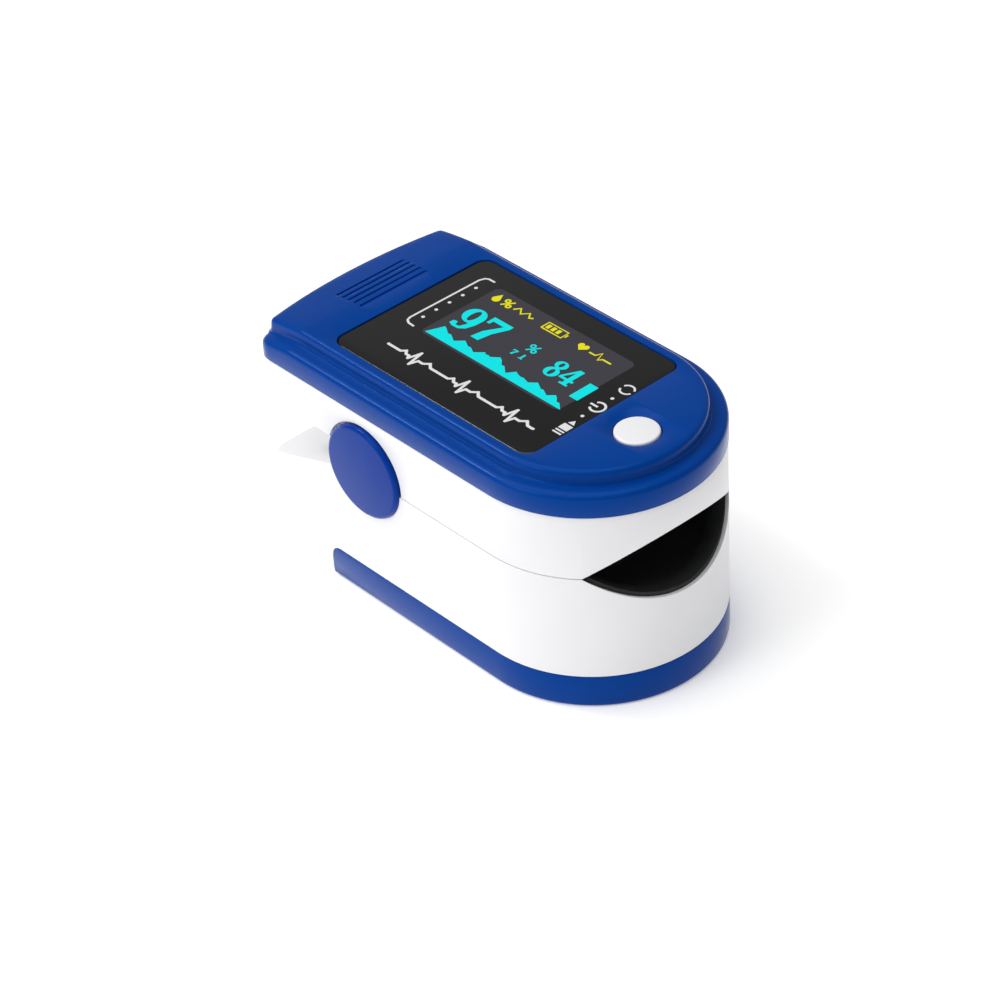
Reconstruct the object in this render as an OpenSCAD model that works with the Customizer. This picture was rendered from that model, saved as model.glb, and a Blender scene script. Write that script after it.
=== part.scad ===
// Fingertip pulse oximeter: two sprung shells that close on a fingertip, with a display on top.
// +X points to the finger opening and +Z up. The origin is on the resting face, at mid length.

/* [Overall] */
// Length from the bowed rear of the top cover to its front tip
body_l = 60.7; // [59.7:0.1:73]
// Width over the white shells
body_w = 32.6; // [31:0.2:40]
// Height of the top cover's plateau
body_h = 33.2; // [32.6:0.2:38]

/* [Levels] */
// Height of the battery cover's blue band
band_h = 4.6; // [4:0.1:5.2]
// Height of the parting line between the shells
parting_z = 19.25; // [18.6:0.05:19.6]
// Height of the upper shell's rim, where the top cover starts
rim_z = 28.3; // [28:0.1:30]
// Thickness of the top cover's outer flange
flange_h = 3.1; // [2:0.1:3.6]
// Height of the white heel behind the battery cover
heel_z = 0.9; // [0.5:0.1:1.1]

/* [Shells] */
// Wall of the upper shell, and of the lower shell's heel
wall = 1.8; // [1.5:0.1:2]
// Wall of the lower shell beside the battery tray, rail included
tray_wall = 2.9; // [2.8:0.1:3.2]
// Gap along the parting line
parting_gap = 0.15; // [0.1:0.05:0.4]
// How far the top cover's flange stands out past the shells
flange_lip = 0.1; // [0:0.05:0.4]
// Width of the step from the flange to the plateau
plateau_step = 2.2; // [1.8:0.1:3]
// Depth of the bow in the plateau's rear edge
rear_bow = 1.8; // [1:0.1:3.5]
// How far the plateau stands out behind the shells
overhang = 2.7; // [2:0.1:3]
// How far the top cover's rear end bends down
rear_fall = 1.4; // [0.8:0.1:1.6]
// Length of the part of the top cover that bends down
fall_l = 9.2; // [7:0.1:9.6]
// Radius of the shells' rear corners
corner_r = 2.5; // [1.5:0.1:4]

/* [Finger chamber] */
// Half width of the finger opening at the parting line
mouth_w = 12.1; // [10:0.1:12.5]
// Depth of the opening below the parting line
mouth_d = 4.9; // [4.2:0.05:5]
// Height of the opening's upper arch above the parting line
arch_d = 4.9; // [4.4:0.1:5]
// Thickness of the silicone finger pads
pad_t = 1; // [0.6:0.1:1.2]
// Distance from the hinge pin to the finger stop
stop_x = 6.2; // [6:0.1:9]
// Distance from the hinge pin to the optical sensor
sensor_x = 15.7; // [13:0.1:20]

/* [Hinge] */
// Distance from the shells' rear wall to the hinge pin
pin_from_rear = 18.8; // [18:0.1:21]
// Height of the hinge pin
pin_z = 20; // [19.8:0.05:20.6]
// Radius of the hinge pin
pin_r = 1.5; // [1:0.1:1.8]
// Radius of the blue hinge caps
cap_r = 6.35; // [6:0.05:7.7]
// How far a hinge cap stands out from the shell
cap_proud = 0.6; // [0.3:0.1:1]
// Running clearance of the pin in the upper shell
pin_clear = 0.05; // [0.02:0.01:0.08]
// Side clearance between parts that turn on each other
side_clear = 0.3; // [0.25:0.05:0.4]

/* [Display and button] */
// Length of the display lens
lens_l = 34.5; // [30:0.5:36]
// Width of the display lens
lens_w = 25.3; // [22:0.1:25.5]
// Distance from the front tip to the lens
lens_from_tip = 13.6; // [13:0.1:16]
// Length of the lit screen
screen_l = 24.4; // [20:0.1:26]
// Width of the lit screen
screen_w = 13.2; // [10:0.1:14]
// Sideways place of the screen's centre
screen_y = 2.65; // [0:0.05:4]
// Radius of the power button
button_r = 2.8; // [2:0.1:3]
// Distance from the front tip to the button's centre
button_from_tip = 8.3; // [7.8:0.1:9]
// Travel of the power button
button_travel = 0.5; // [0.2:0.1:0.6]
// Clearance round the power button
button_clear = 0.15; // [0.1:0.05:0.3]

/* [Batteries] */
// Diameter of an AAA cell
cell_d = 10.5; // [8:0.1:10.6]
// Length of an AAA cell
cell_l = 44.5; // [40:0.5:44.5]
// Height of the cells' axes
cell_z = 7.3; // [7.2:0.05:7.4]
// Clearance round a cell
cell_clear = 0.3; // [0.1:0.05:0.35]
// Wall of the battery cover
cover_t = 1.3; // [1:0.05:1.4]
// Sliding clearance of the battery cover
cover_clear = 0.2; // [0.15:0.05:0.3]

/* [Hidden] */
$fn = 64;
eps = 0.01;

// Plan: the shells' front is a half circle as wide as they are
half_w = body_w / 2;
rear_x = -body_l / 2 + overhang;
front_x = body_l / 2 - flange_lip;
plateau_w = body_w + 2 * flange_lip - 2 * plateau_step;
plateau_front = body_l / 2 - plateau_step;
bow_r = (pow(plateau_w / 2, 2) + pow(rear_bow, 2)) / (2 * rear_bow);
crease_x = -body_l / 2 + fall_l;
fall_r = (pow(fall_l, 2) + pow(rear_fall, 2)) / (2 * rear_fall);
flange_top = rim_z + flange_h;
flange_rear = rear_x - 0.8;

// Hinge
pin_x = rear_x + pin_from_rear;
cap_t = 0.9;
cap_in = half_w + cap_proud - cap_t;
lobe_r = cap_r - 0.85;
lobe_out = cap_in - side_clear;
lobe_in = half_w - wall;
ear_out = lobe_in - side_clear;
ear_t = 1.8;
ear_in = ear_out - ear_t;
ear_r = pin_r + 2.4;
pocket_r = ear_r + 0.7;
swing_clear = 0.3;
cable_x = pin_x + 3.75;

// Finger chamber: circular arcs through the mouth's corners and its lowest and highest points
lip_r = (pow(mouth_w, 2) + pow(mouth_d, 2)) / (2 * mouth_d);
lip_z = parting_z - mouth_d + lip_r;
upper_z = parting_z + parting_gap;
arch_r = (pow(mouth_w, 2) + pow(arch_d, 2)) / (2 * arch_d);
arch_z = upper_z + arch_d - arch_r;
pad_sink = 0.8;
bead_t = 0.6;
bead_set = 0.45;
chamber_x = pin_x + stop_x;
front_wall = 1.8;
chamber_l = front_x - front_wall - chamber_x;
sensor_px = pin_x + sensor_x;

// Upper half stack
tail_l = 3.7;
deck_skin = 0.8;
deck_z = upper_z + arch_d + deck_skin;
post_h = 0.7;
screw_depth = 3.2;
board_z = deck_z + post_h;
board_t = 1;
board_top = board_z + board_t;
board_inset = wall + 1.4;
cover_skin = 1;
lens_t = 0.9;
lens_z = body_h - 0.1 - lens_t;
recess_gap = 0.1;
window_gap = 0.3;
ceiling_z = lens_z - cover_skin;
glass_t = 1.8;
glass_z = lens_z - glass_t - 0.1;
backing_t = 1;
backing_z = glass_z - backing_t;
backing_rim = 1.5;
lens_x = body_l / 2 - lens_from_tip - lens_l / 2;
screen_x = lens_x + 1;
button_x = body_l / 2 - button_from_tip;
flange_r = button_r + 0.6;
switch_w = 5.2;
switch_h = 2.4;
plunger_r = 1.4;
plunger_h = 1.6;
plunger_z = board_top + switch_h - 0.8;
button_z = plunger_z + plunger_h;
dish_r = button_r + 0.8;
button_sink = 0.15;
post_places = [for (x = [rear_x + 7, button_x - 4.4], s = [-1, 1]) [x, s * (half_w - 7.3)]];
screw_r = 0.7;
screw_head_r = 1.4;

// Batteries and their tray
cell_r = cell_d / 2;
bay_r = cell_r + cell_clear;
cell_y = bay_r + 0.05;
plate_t = 0.5;
spring_l = 2.5;
bay_l = cell_l + spring_l + 2 * plate_t;
bay_half = cell_y + bay_r;
tray_gap = 0.2;
// The bays reach forward until the cells' corners or the tray screws meet the wall
arc_x = front_x - half_w;
corner_reach = sqrt(pow(half_w - 0.92, 2) - pow(bay_half, 2));
screw_reach = half_w - tray_wall - tray_gap - 2.3;
bay_front = arc_x + min(corner_reach, screw_reach);
bay_rear = bay_front - bay_l;
tray_top = parting_z - 6.65;
ceiling_lower = tray_top + 0.1;
cover_rear = rear_x + 11;
cover_floor = 1.4;
tray_z = cover_floor + 0.45;
rail_z = band_h - 1.5;
rail_h = 0.7;
rail_d = 0.6;
rail_y = half_w - cover_t - cover_clear - rail_d;
tray_screw_x = bay_front + 1.15;
tray_screw_y = 2.8;
board_w = 4.6;
board_l = 10;
sensor_board_t = 0.6;
sensor_board_z = tray_top - sensor_board_t + 0.05;

// Side outline of the lower half: the rear slopes up to the parting line and the heel is rounded
slope = 0.332;
slope_z = 13.7;
lower_side = [
    [rear_x, slope_z], [rear_x + (parting_z - slope_z) / slope, parting_z],
    [front_x, parting_z], [front_x, heel_z], [rear_x + 4.2, heel_z],
    [rear_x + 1.6, heel_z + 0.7], [rear_x + 0.5, heel_z + 1.9], [rear_x, heel_z + 3.4]
];
// Side outline of the upper half: the underside behind the hinge rises to the rear
upper_side = [
    [front_x, upper_z], [pin_x, upper_z], [pin_x - 5.8, pin_z + 2.1], [rear_x + 7.9, pin_z + 2.3],
    [rear_x + 4.1, pin_z + 2.75], [rear_x + 1.7, pin_z + 3.7], [rear_x + 0.5, pin_z + 5],
    [rear_x, pin_z + 6.2], [rear_x, rim_z], [front_x, rim_z]
];

// Flat outline with a half-round front and rounded rear corners, shrunk by inset
module plan(w, front, rear, r, inset = 0) {
    iw = w - 2 * inset;
    f = front - inset;
    b = rear + inset;
    c = max(r - inset, 0.4);
    translate([f - iw / 2, 0]) circle(d = iw);
    translate([b + c, -iw / 2]) square([f - iw / 2 - b - c, iw]);
    translate([b, -iw / 2 + c]) square([2 * c, iw - 2 * c]);
    for (s = [-1, 1]) translate([b + c, s * (iw / 2 - c)]) circle(c);
}

module shell_plan(inset = 0) {
    plan(body_w, front_x, rear_x, corner_r, inset);
}

// Plateau outline: half-round front and a bowed rear edge
module plateau_plan(inset = 0) {
    intersection() {
        plan(plateau_w, plateau_front, -body_l / 2, 0.5, inset);
        translate([bow_r - body_l / 2 + inset, 0]) circle(bow_r, $fn = 180);
    }
}

// A side outline as a slab across the whole width
module side_slab(points, w = 60) {
    rotate([90, 0, 0]) linear_extrude(w, center = true) polygon(points);
}

module slab(z0, z1) {
    translate([0, 0, z0]) linear_extrude(z1 - z0) children();
}

// Cylinder on the hinge axis, from y0 to y1
module on_pin(r, y0, y1) {
    translate([pin_x, y1, pin_z]) rotate([90, 0, 0]) cylinder(r = r, h = y1 - y0);
}

// The same on both sides
module on_pin_pair(r, y0, y1) {
    on_pin(r, y0, y1);
    on_pin(r, -y1, -y0);
}

// Cylinder along X
module along_x(r, x0, x1, y, z) {
    translate([x0, y, z]) rotate([0, 90, 0]) cylinder(r = r, h = x1 - x0);
}

module box_at(x0, x1, y0, y1, z0, z1) {
    translate([x0, y0, z0]) cube([x1 - x0, y1 - y0, z1 - z0]);
}

// Round bar swept along a path: ref is a direction that the path never follows
function unit(v) = v / norm(v);
function tangent(p, i) = unit(p[min(i + 1, len(p) - 1)] - p[max(i - 1, 0)]);
function ring(p, i, r, n, ref) =
    let (t = tangent(p, i), u = unit(cross(t, ref)), v = cross(t, u))
    [for (k = [0:n - 1]) p[i] + r * (cos(360 * k / n) * u + sin(360 * k / n) * v)];
module sweep(path, r, n, ref) {
    rings = len(path);
    points = [for (i = [0:rings - 1]) each ring(path, i, r, n, ref)];
    sides = [for (i = [0:rings - 2], k = [0:n - 1])
        [i * n + k, (i + 1) * n + k, (i + 1) * n + (k + 1) % n, i * n + (k + 1) % n]];
    first = [for (k = [0:n - 1]) k];
    last = [for (k = [n - 1:-1:0]) (rings - 1) * n + k];
    polyhedron(points, concat(sides, [first], [last]));
}

// Outline of the top cover's flange
module flange_plan(inset = 0) {
    plan(body_w + 2 * flange_lip, body_l / 2, flange_rear, corner_r, inset, $fn = 96);
}

// Cylinder across the body, about the axis that the top cover's rear end bends round
module across_fall(r) {
    translate([crease_x, half_w + 2, body_h - fall_r])
        rotate([90, 0, 0]) cylinder(r = r, h = 2 * half_w + 4, $fn = 180);
}

// Children with a flat top whose rear end is bent down
module bent(top) {
    difference() {
        children();
        difference() {
            box_at(-body_l, crease_x, -half_w - 1, half_w + 1, top - rear_fall - 1, top + 1);
            across_fall(fall_r - body_h + top);
        }
    }
}

module top_cover() color("#1446a0") difference() {
    union() {
        bent(flange_top) hull() {
            slab(rim_z, flange_top - 1.2) flange_plan();
            slab(rim_z, flange_top - 0.4) flange_plan(0.35);
            slab(rim_z, flange_top) flange_plan(1.1);
        }
        bent(body_h) hull() {
            slab(rim_z + 1, body_h - 0.7) plateau_plan($fn = 96);
            slab(rim_z + 1, body_h) plateau_plan(0.7, $fn = 96);
        }
        // Locating lip inside the upper shell's open part
        intersection() {
            slab(rim_z - 1.1, rim_z + 1) shell_plan(wall + 0.1);
            box_at(rear_x + tail_l + 0.1, front_x, -half_w, half_w, rim_z - 2, rim_z + 2);
        }
    }
    slab(rim_z - 2, rim_z + 1.5) shell_plan(wall + 1.1);
    intersection() {
        slab(rim_z, ceiling_z) plateau_plan(1.6);
        box_at(rear_x + 0.6, front_x, -half_w, half_w, rim_z - 1, body_h);
    }
    lens_block(lens_z, body_h + 1, recess_gap);
    screen_block(rim_z, body_h, window_gap);
    translate([button_x, 0, rim_z]) cylinder(r = button_r + button_clear, h = 10);
    translate([button_x, 0, body_h - 0.35]) cylinder(r1 = dish_r - 0.5, r2 = dish_r, h = 0.4);
    // Shallow grip grooves across the bent rear end
    difference() {
        for (i = [0:4]) {
            gx = crease_x - 4.3 + 1.1 * i;
            box_at(gx, gx + 0.5, -5.5, 5.5, body_h - rear_fall - 1, body_h + 1);
        }
        across_fall(fall_r - 0.25);
    }
}

module lens_block(z0, z1, grow) {
    slab(z0, z1) rounded_box(lens_x, 0, lens_l + 2 * grow, lens_w + 2 * grow, 1.8);
}

module screen_block(z0, z1, grow) {
    box_at(
        screen_x - screen_l / 2 - grow, screen_x + screen_l / 2 + grow,
        screen_y - screen_w / 2 - grow, screen_y + screen_w / 2 + grow, z0, z1
    );
}

// Rectangle with rounded corners, centred at x, y
module rounded_box(x, y, l, w, r) {
    translate([x, y]) {
        square([l - 2 * r, w], center = true);
        square([l, w - 2 * r], center = true);
        for (i = [-1, 1], j = [-1, 1]) translate([i * (l / 2 - r), j * (w / 2 - r)]) circle(r);
    }
}

module display_lens() color("#2b2b2e") {
    lens_block(lens_z, lens_z + lens_t, 0);
}

module display_gasket() color("#202020") difference() {
    screen_block(glass_z, ceiling_z, window_gap + backing_rim - 0.3);
    screen_block(glass_z - 1, ceiling_z + 1, window_gap);
}

module display_module() color("#3a3f46") {
    screen_block(glass_z, glass_z + glass_t, 0);
    screen_block(backing_z, glass_z, window_gap + backing_rim);
}

module main_board() color("#1e6b3a") difference() {
    intersection() {
        slab(board_z, board_top) shell_plan(board_inset);
        box_at(rear_x + tail_l + 0.4, front_x, -half_w, half_w, board_z - 1, board_top + 1);
    }
    for (p = post_places) translate([p[0], p[1], board_z - 1]) cylinder(r = screw_r + 0.15, h = 3);
}

module controller_chip() color("#1c1c1e") {
    box_at(screen_x - 3.5, screen_x + 3.5, -3.5, 3.5, board_top, board_top + 1.2);
}

module buzzer() color("#b8923a") {
    translate([rear_x + 9, 0, board_top]) cylinder(r = 4, h = 1.6);
}

module tact_switch() color("#c8c8cc") difference() {
    box_at(
        button_x - switch_w / 2, button_x + switch_w / 2, -switch_w / 2, switch_w / 2,
        board_top, board_top + switch_h
    );
    translate([button_x, 0, plunger_z - button_travel - 0.2])
        cylinder(r = plunger_r + 0.06, h = 10);
}

module switch_plunger() color("#2a2a2a") {
    translate([button_x, 0, plunger_z]) cylinder(r = plunger_r, h = plunger_h);
}

module power_button() color("white") {
    translate([button_x, 0, button_z]) cylinder(r = button_r, h = body_h - button_sink - button_z);
    translate([button_x, 0, button_z]) cylinder(r = flange_r, h = ceiling_z - 0.3 - button_z);
}

module board_screws() color("silver") {
    for (p = post_places) translate([p[0], p[1], 0]) {
        translate([0, 0, board_z - screw_depth]) cylinder(r = screw_r, h = screw_depth + board_t);
        translate([0, 0, board_top]) difference() {
            cylinder(r = screw_head_r, h = 1);
            for (a = [0, 90]) rotate(a) translate([-0.9, -0.15, 0.5]) cube([1.8, 0.3, 1]);
        }
    }
}

module upper_shell() color("white") difference() {
    union() {
        intersection() {
            slab(upper_z - 6, rim_z) shell_plan();
            side_slab(upper_side);
        }
        on_pin_pair(lobe_r, lobe_in, half_w);
    }
    // Room for the board, open at the top
    difference() {
        slab(deck_z, rim_z + 1) shell_plan(wall);
        box_at(rear_x, rear_x + tail_l, -half_w, half_w, deck_z - 1, rim_z + 1 + eps);
        for (p = post_places) translate([p[0], p[1], deck_z - 1]) cylinder(r = 2, h = post_h + 1);
    }
    for (p = post_places) translate([p[0], p[1], board_z - screw_depth]) cylinder(r = screw_r, h = 5);
    // Finger arch, through the front wall
    intersection() {
        along_x(arch_r, chamber_x, front_x + 1, 0, arch_z);
        box_at(chamber_x, front_x + 1, -half_w, half_w, upper_z - 1, deck_z);
    }
    sensor_hole(upper_z, deck_z + 1, 2.4, 2.1);
    // Hinge: room for the ears and springs, the pin bores and the caps
    on_pin(pocket_r, -lobe_in, lobe_in);
    on_pin(pin_r + pin_clear, -half_w - 1, half_w + 1);
    on_pin_pair(cap_r + side_clear, lobe_out, half_w + 1);
    cable_slot(upper_z, deck_z + 1);
}

// Square hole for an optical part
module sensor_hole(z0, z1, half_l, half_wid) {
    box_at(sensor_px - half_l, sensor_px + half_l, -half_wid, half_wid, z0, z1);
}

module cable_slot(z0, z1) {
    box_at(cable_x - 0.4, cable_x + 1.15, -2.6, 2.6, z0, z1);
}

// The finger chamber's plan, from the stop to the front wall, as a block
module chamber_block(z0, z1) {
    intersection() {
        slab(z0, z1) shell_plan(front_wall);
        box_at(chamber_x, front_x, -half_w, half_w, z0 - 1, z1 + 1);
    }
}

// Finger pad between two arcs about the same axis, in the chamber
module pad_body(r_out, r_in, z, z0, z1) {
    intersection() {
        difference() {
            along_x(r_out, chamber_x, chamber_x + chamber_l, 0, z);
            along_x(r_in, chamber_x + pad_t, chamber_x + chamber_l + 1, 0, z);
        }
        chamber_block(z0, z1);
    }
}

module upper_finger_pad() color("#1a1a1c") difference() {
    pad_body(arch_r, arch_r - pad_t, arch_z, upper_z, deck_z);
    translate([sensor_px, 0, upper_z]) cylinder(r = 3, h = 10);
}

module emitter_window() color("#e8e8f0") {
    translate([sensor_px, 0, upper_z + arch_d - pad_t]) cylinder(r = 3, h = pad_t - 0.25);
}

module emitter_led() color("#d8c890") {
    sensor_hole(upper_z + arch_d - 0.25, board_z, 2.2, 1.9);
}

module lower_shell() color("white") {
    difference() {
        intersection() {
            slab(heel_z, parting_z) shell_plan();
            side_slab(lower_side);
        }
        // Step for the battery cover's band, round a skirt that guides it
        difference() {
            side_slab(cover_side(0.1));
            slab(tray_z, band_h + 1) shell_plan(cover_t + cover_clear);
        }
        // Room for the battery tray, open below in front of the heel
        slab(tray_z, ceiling_lower) shell_plan(tray_wall);
        intersection() {
            slab(-1, ceiling_lower) shell_plan(tray_wall);
            box_at(cover_rear, front_x, -half_w, half_w, -1, ceiling_lower);
        }
        cell_bays();
        // Finger trough behind the front wall, and the mouth through it
        intersection() {
            along_x(lip_r + pad_sink, chamber_x, chamber_x + chamber_l, 0, lip_z);
            chamber_block(ceiling_lower + 0.5, parting_z + 1);
        }
        along_x(lip_r, chamber_x + pad_t, front_x + 1, 0, lip_z);
        sensor_hole(ceiling_lower - 1, parting_z, 1.8, 1.8);
        translate([sensor_px, 0, ceiling_lower + 0.6]) cylinder(r = 3.4, h = 10);
        for (s = [-1, 1])
            translate([tray_screw_x, s * tray_screw_y, 0]) cylinder(r = 0.6, h = ceiling_lower + 0.8);
        // Hinge: room for the upper shell's lobes, the springs and the caps
        on_pin(pocket_r, -ear_in, ear_in);
        on_pin_pair(lobe_r + swing_clear, ear_out, half_w + 1);
        on_pin_pair(cap_r + 0.05, cap_in, half_w + 1);
        on_pin_pair(pocket_r, ear_in - eps, ear_out + eps);
        cable_slot(ceiling_lower - 1, parting_z);
        rail_grooves();
    }
    for (s = [-1, 1]) ear(s);
}

// Ear that holds the hinge pin, just inside the upper shell's side
module ear(side) {
    y0 = side > 0 ? ear_in : -ear_out;
    difference() {
        union() {
            on_pin(ear_r, y0, y0 + ear_t);
            box_at(pin_x - ear_r, pin_x + ear_r, y0, y0 + ear_t, ceiling_lower + 1, pin_z);
        }
        on_pin(pin_r, y0 - 1, y0 + ear_t + 1);
    }
}

// Grooves in the skirt for the battery cover's rails
module rail_grooves() {
    for (s = [0, 1]) mirror([0, s, 0]) box_at(
        cover_rear, front_x, rail_y - 0.15, half_w - cover_t, rail_z - 0.15, rail_z + rail_h + 0.15
    );
}

module lower_finger_pad() color("#1a1a1c") {
    difference() {
        pad_body(
            lip_r + pad_sink, lip_r + pad_sink - pad_t, lip_z,
            ceiling_lower + 0.5, parting_z - 0.1
        );
        translate([sensor_px, 0, 0]) cylinder(r = 3.4, h = 30);
    }
    // Bead that lines the mouth's lower edge, nearly flush with the front wall
    intersection() {
        difference() {
            along_x(lip_r, arc_x, front_x, 0, lip_z);
            along_x(lip_r - bead_t, arc_x - 1, front_x + 1, 0, lip_z);
        }
        difference() {
            slab(ceiling_lower + 0.5, parting_z - 0.1) shell_plan(bead_set);
            slab(ceiling_lower, parting_z) shell_plan(front_wall + 0.8);
        }
    }
}

module sensor_window() color("#8a1f1f") {
    translate([sensor_px, 0, parting_z - mouth_d - pad_sink])
        cylinder(r = 3.4, h = pad_t - 0.1);
}

module photodiode() color("#30343c") {
    sensor_hole(sensor_board_z + sensor_board_t, parting_z - mouth_d - pad_sink, 1.6, 1.6);
}

module sensor_board() color("#1e6b3a") {
    box_at(
        sensor_px - board_l / 2, sensor_px + board_l / 2, -board_w / 2, board_w / 2,
        sensor_board_z, sensor_board_z + sensor_board_t
    );
}

module flex_cable() color("#c88a2a") {
    z0 = sensor_board_z + 0.15;
    x1 = cable_x;
    t = 0.3;
    rotate([90, 0, 0]) linear_extrude(4, center = true) polygon([
        [sensor_px - board_l / 2, z0], [x1 + 1, z0], [x1, z0 + 1], [x1, board_z],
        [x1 + t, board_z], [x1 + t, z0 + 1 + t / 2], [x1 + 1 + t / 2, z0 + t],
        [sensor_px - board_l / 2, z0 + t]
    ]);
}

module hinge_pin() color("silver") {
    on_pin(pin_r, -cap_in - 0.4, cap_in + 0.4);
}

module hinge_cap(side) color("#1237a0") difference() {
    union() {
        y0 = side > 0 ? cap_in : -cap_in - cap_t;
        on_pin(cap_r, y0, y0 + cap_t);
    }
    on_pin(pin_r, -cap_in - 0.4, cap_in + 0.4);
}

// Torsion spring on the pin: both legs point to the rear and push the rear arms apart
module torsion_spring(side) color("#9a9aa0") {
    coil_r = pin_r + 0.85;
    wire_r = 0.35;
    turns = 4.5;
    leg = sqrt(pow(pocket_r - wire_r, 2) - pow(coil_r, 2)) - 0.1;
    y0 = side * 5;
    pitch = side * 1.05;
    path = concat(
        [[-leg, y0, -coil_r], [-leg / 2, y0, -coil_r]],
        [for (a = [0:30:360 * turns]) [
            coil_r * sin(a), y0 + pitch * a / 360, -coil_r * cos(a)]],
        [[-leg / 2, y0 + pitch * turns, coil_r], [-leg, y0 + pitch * turns, coil_r]]
    );
    translate([pin_x, 0, pin_z]) sweep(path, wire_r, 8, [0, 1, 0]);
}

// Round spaces for the two cells and their contacts
module cell_bays() {
    for (s = [-1, 1]) along_x(bay_r, bay_rear, bay_front, s * cell_y, cell_z);
}

module battery_tray() color("#d8d8d8") difference() {
    slab(tray_z + 0.1, tray_top) shell_plan(tray_wall + tray_gap);
    cell_bays();
    for (s = [-1, 1]) {
        box_at(bay_rear, bay_front, s > 0 ? 0 : -bay_half, s > 0 ? bay_half : 0, -1, cell_z);
        translate([tray_screw_x, s * tray_screw_y, 0]) {
            cylinder(r = 1.1, h = tray_top - 3);
            cylinder(r = 0.7, h = tray_top + 1);
        }
    }
    // Notch for the sensor board and its cable
    box_at(
        cable_x - 0.7, sensor_px + board_l / 2 + 0.3, -board_w / 2 - 0.2, board_w / 2 + 0.2,
        sensor_board_z - 0.1, tray_top + 1
    );
}

// AAA cell along X, with its raised end at the front when turned is false
module cell(x0, y, turned) {
    nub = 1.2;
    body_x = turned ? x0 + nub : x0;
    nub_x = turned ? x0 : x0 + cell_l - nub;
    along_x(cell_r, body_x, body_x + cell_l - nub, y, cell_z);
    along_x(1.9, nub_x - (turned ? 0 : eps), nub_x + nub + (turned ? eps : 0), y, cell_z);
}

module battery_left() color("#2f6f4f") {
    cell(bay_front - plate_t - cell_l, cell_y, false);
}

module battery_right() color("#2f6f4f") {
    cell(bay_rear + plate_t, -cell_y, true);
}

module contact_plates() color("silver") {
    for (s = [-1, 1], x = [bay_rear, bay_front - plate_t])
        box_at(x, x + plate_t, s * cell_y - 3.2, s * cell_y + 3.2, cell_z - 3.2, cell_z + 3.2);
}

// Conical spring against each cell's flat end
module contact_springs() color("#c0c0c8") {
    turns = 2.5;
    wire_r = 0.25;
    length = spring_l - 2 * wire_r;
    for (s = [-1, 1])
        translate([s > 0 ? bay_rear + plate_t + wire_r : bay_front - plate_t - wire_r, s * cell_y, cell_z])
            sweep([for (a = [0:30:360 * turns]) let (f = a / 360 / turns, r = 2.9 - 1.3 * f)
                [s * length * f, r * cos(a), r * sin(a)]], wire_r, 6, [1, 0, 0]);
}

module tray_screws() color("silver") {
    for (s = [-1, 1]) translate([tray_screw_x, s * tray_screw_y, 0]) {
        translate([0, 0, tray_top - 4]) cylinder(r = 1, h = 1);
        translate([0, 0, tray_top - 3]) cylinder(r = 0.6, h = ceiling_lower + 0.8 - tray_top + 3);
    }
}

// Side outline of the battery cover, with a rounded rear corner; grow is the gap round it
function cover_side(grow) = [
    [cover_rear - grow, -grow], [cover_rear - grow, band_h - 2.2],
    for (a = [180:-30:90]) [
        cover_rear + 1.6 + (1.6 + grow) * cos(a), band_h - 1.6 + (1.6 + grow) * sin(a)],
    [front_x + 1, band_h + grow], [front_x + 1, -grow]
];

module battery_cover() color("#1446a0") {
    difference() {
        intersection() {
            slab(0, band_h) shell_plan();
            side_slab(cover_side(0));
        }
        slab(cover_floor, band_h + 1) shell_plan(cover_t);
        // Grip grooves under the front
        for (i = [0:4]) box_at(
            front_x - 9 + 1.4 * i, front_x - 8.3 + 1.4 * i, -6, 6, -1, 0.4);
    }
    // Rails that run in the skirt's grooves
    for (s = [0, 1]) mirror([0, s, 0]) box_at(
        cover_rear + 2, arc_x, rail_y, half_w - cover_t + 0.1, rail_z, rail_z + rail_h
    );
}

top_cover();
display_lens();
display_gasket();
display_module();
main_board();
controller_chip();
buzzer();
tact_switch();
switch_plunger();
power_button();
board_screws();
upper_shell();
upper_finger_pad();
emitter_led();
emitter_window();
lower_shell();
lower_finger_pad();
photodiode();
sensor_window();
sensor_board();
flex_cable();
hinge_pin();
hinge_cap(1);  // hinge_cap_left
hinge_cap(-1);  // hinge_cap_right
torsion_spring(1);  // torsion_spring_left
torsion_spring(-1);  // torsion_spring_right
battery_tray();
battery_left();
battery_right();
contact_plates();
contact_springs();
tray_screws();
battery_cover();
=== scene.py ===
import math

import bmesh
import bpy
from mathutils import Matrix, Vector


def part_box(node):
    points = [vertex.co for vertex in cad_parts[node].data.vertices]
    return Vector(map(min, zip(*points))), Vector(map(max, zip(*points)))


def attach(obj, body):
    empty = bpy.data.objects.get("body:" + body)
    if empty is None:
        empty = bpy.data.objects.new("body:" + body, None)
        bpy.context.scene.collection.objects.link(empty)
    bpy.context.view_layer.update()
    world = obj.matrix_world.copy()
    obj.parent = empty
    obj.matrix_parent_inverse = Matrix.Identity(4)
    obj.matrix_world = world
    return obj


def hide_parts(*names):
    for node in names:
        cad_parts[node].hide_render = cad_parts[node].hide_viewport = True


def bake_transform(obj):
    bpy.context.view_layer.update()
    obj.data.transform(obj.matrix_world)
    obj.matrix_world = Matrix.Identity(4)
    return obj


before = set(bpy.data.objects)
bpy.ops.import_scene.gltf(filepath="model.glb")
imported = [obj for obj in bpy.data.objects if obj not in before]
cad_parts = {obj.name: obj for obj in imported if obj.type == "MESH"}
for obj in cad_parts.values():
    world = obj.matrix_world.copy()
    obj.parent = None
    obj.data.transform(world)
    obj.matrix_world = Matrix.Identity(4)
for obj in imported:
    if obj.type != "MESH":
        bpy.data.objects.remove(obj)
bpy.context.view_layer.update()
mm = 0.001


# ---------------------------------------------------------------- lower shell
# White ABS moulding that carries the hinge ears, the finger trough and the
# battery bay. Its side wall steps in at the foot, where the blue battery
# cover's band lies flush.

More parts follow.
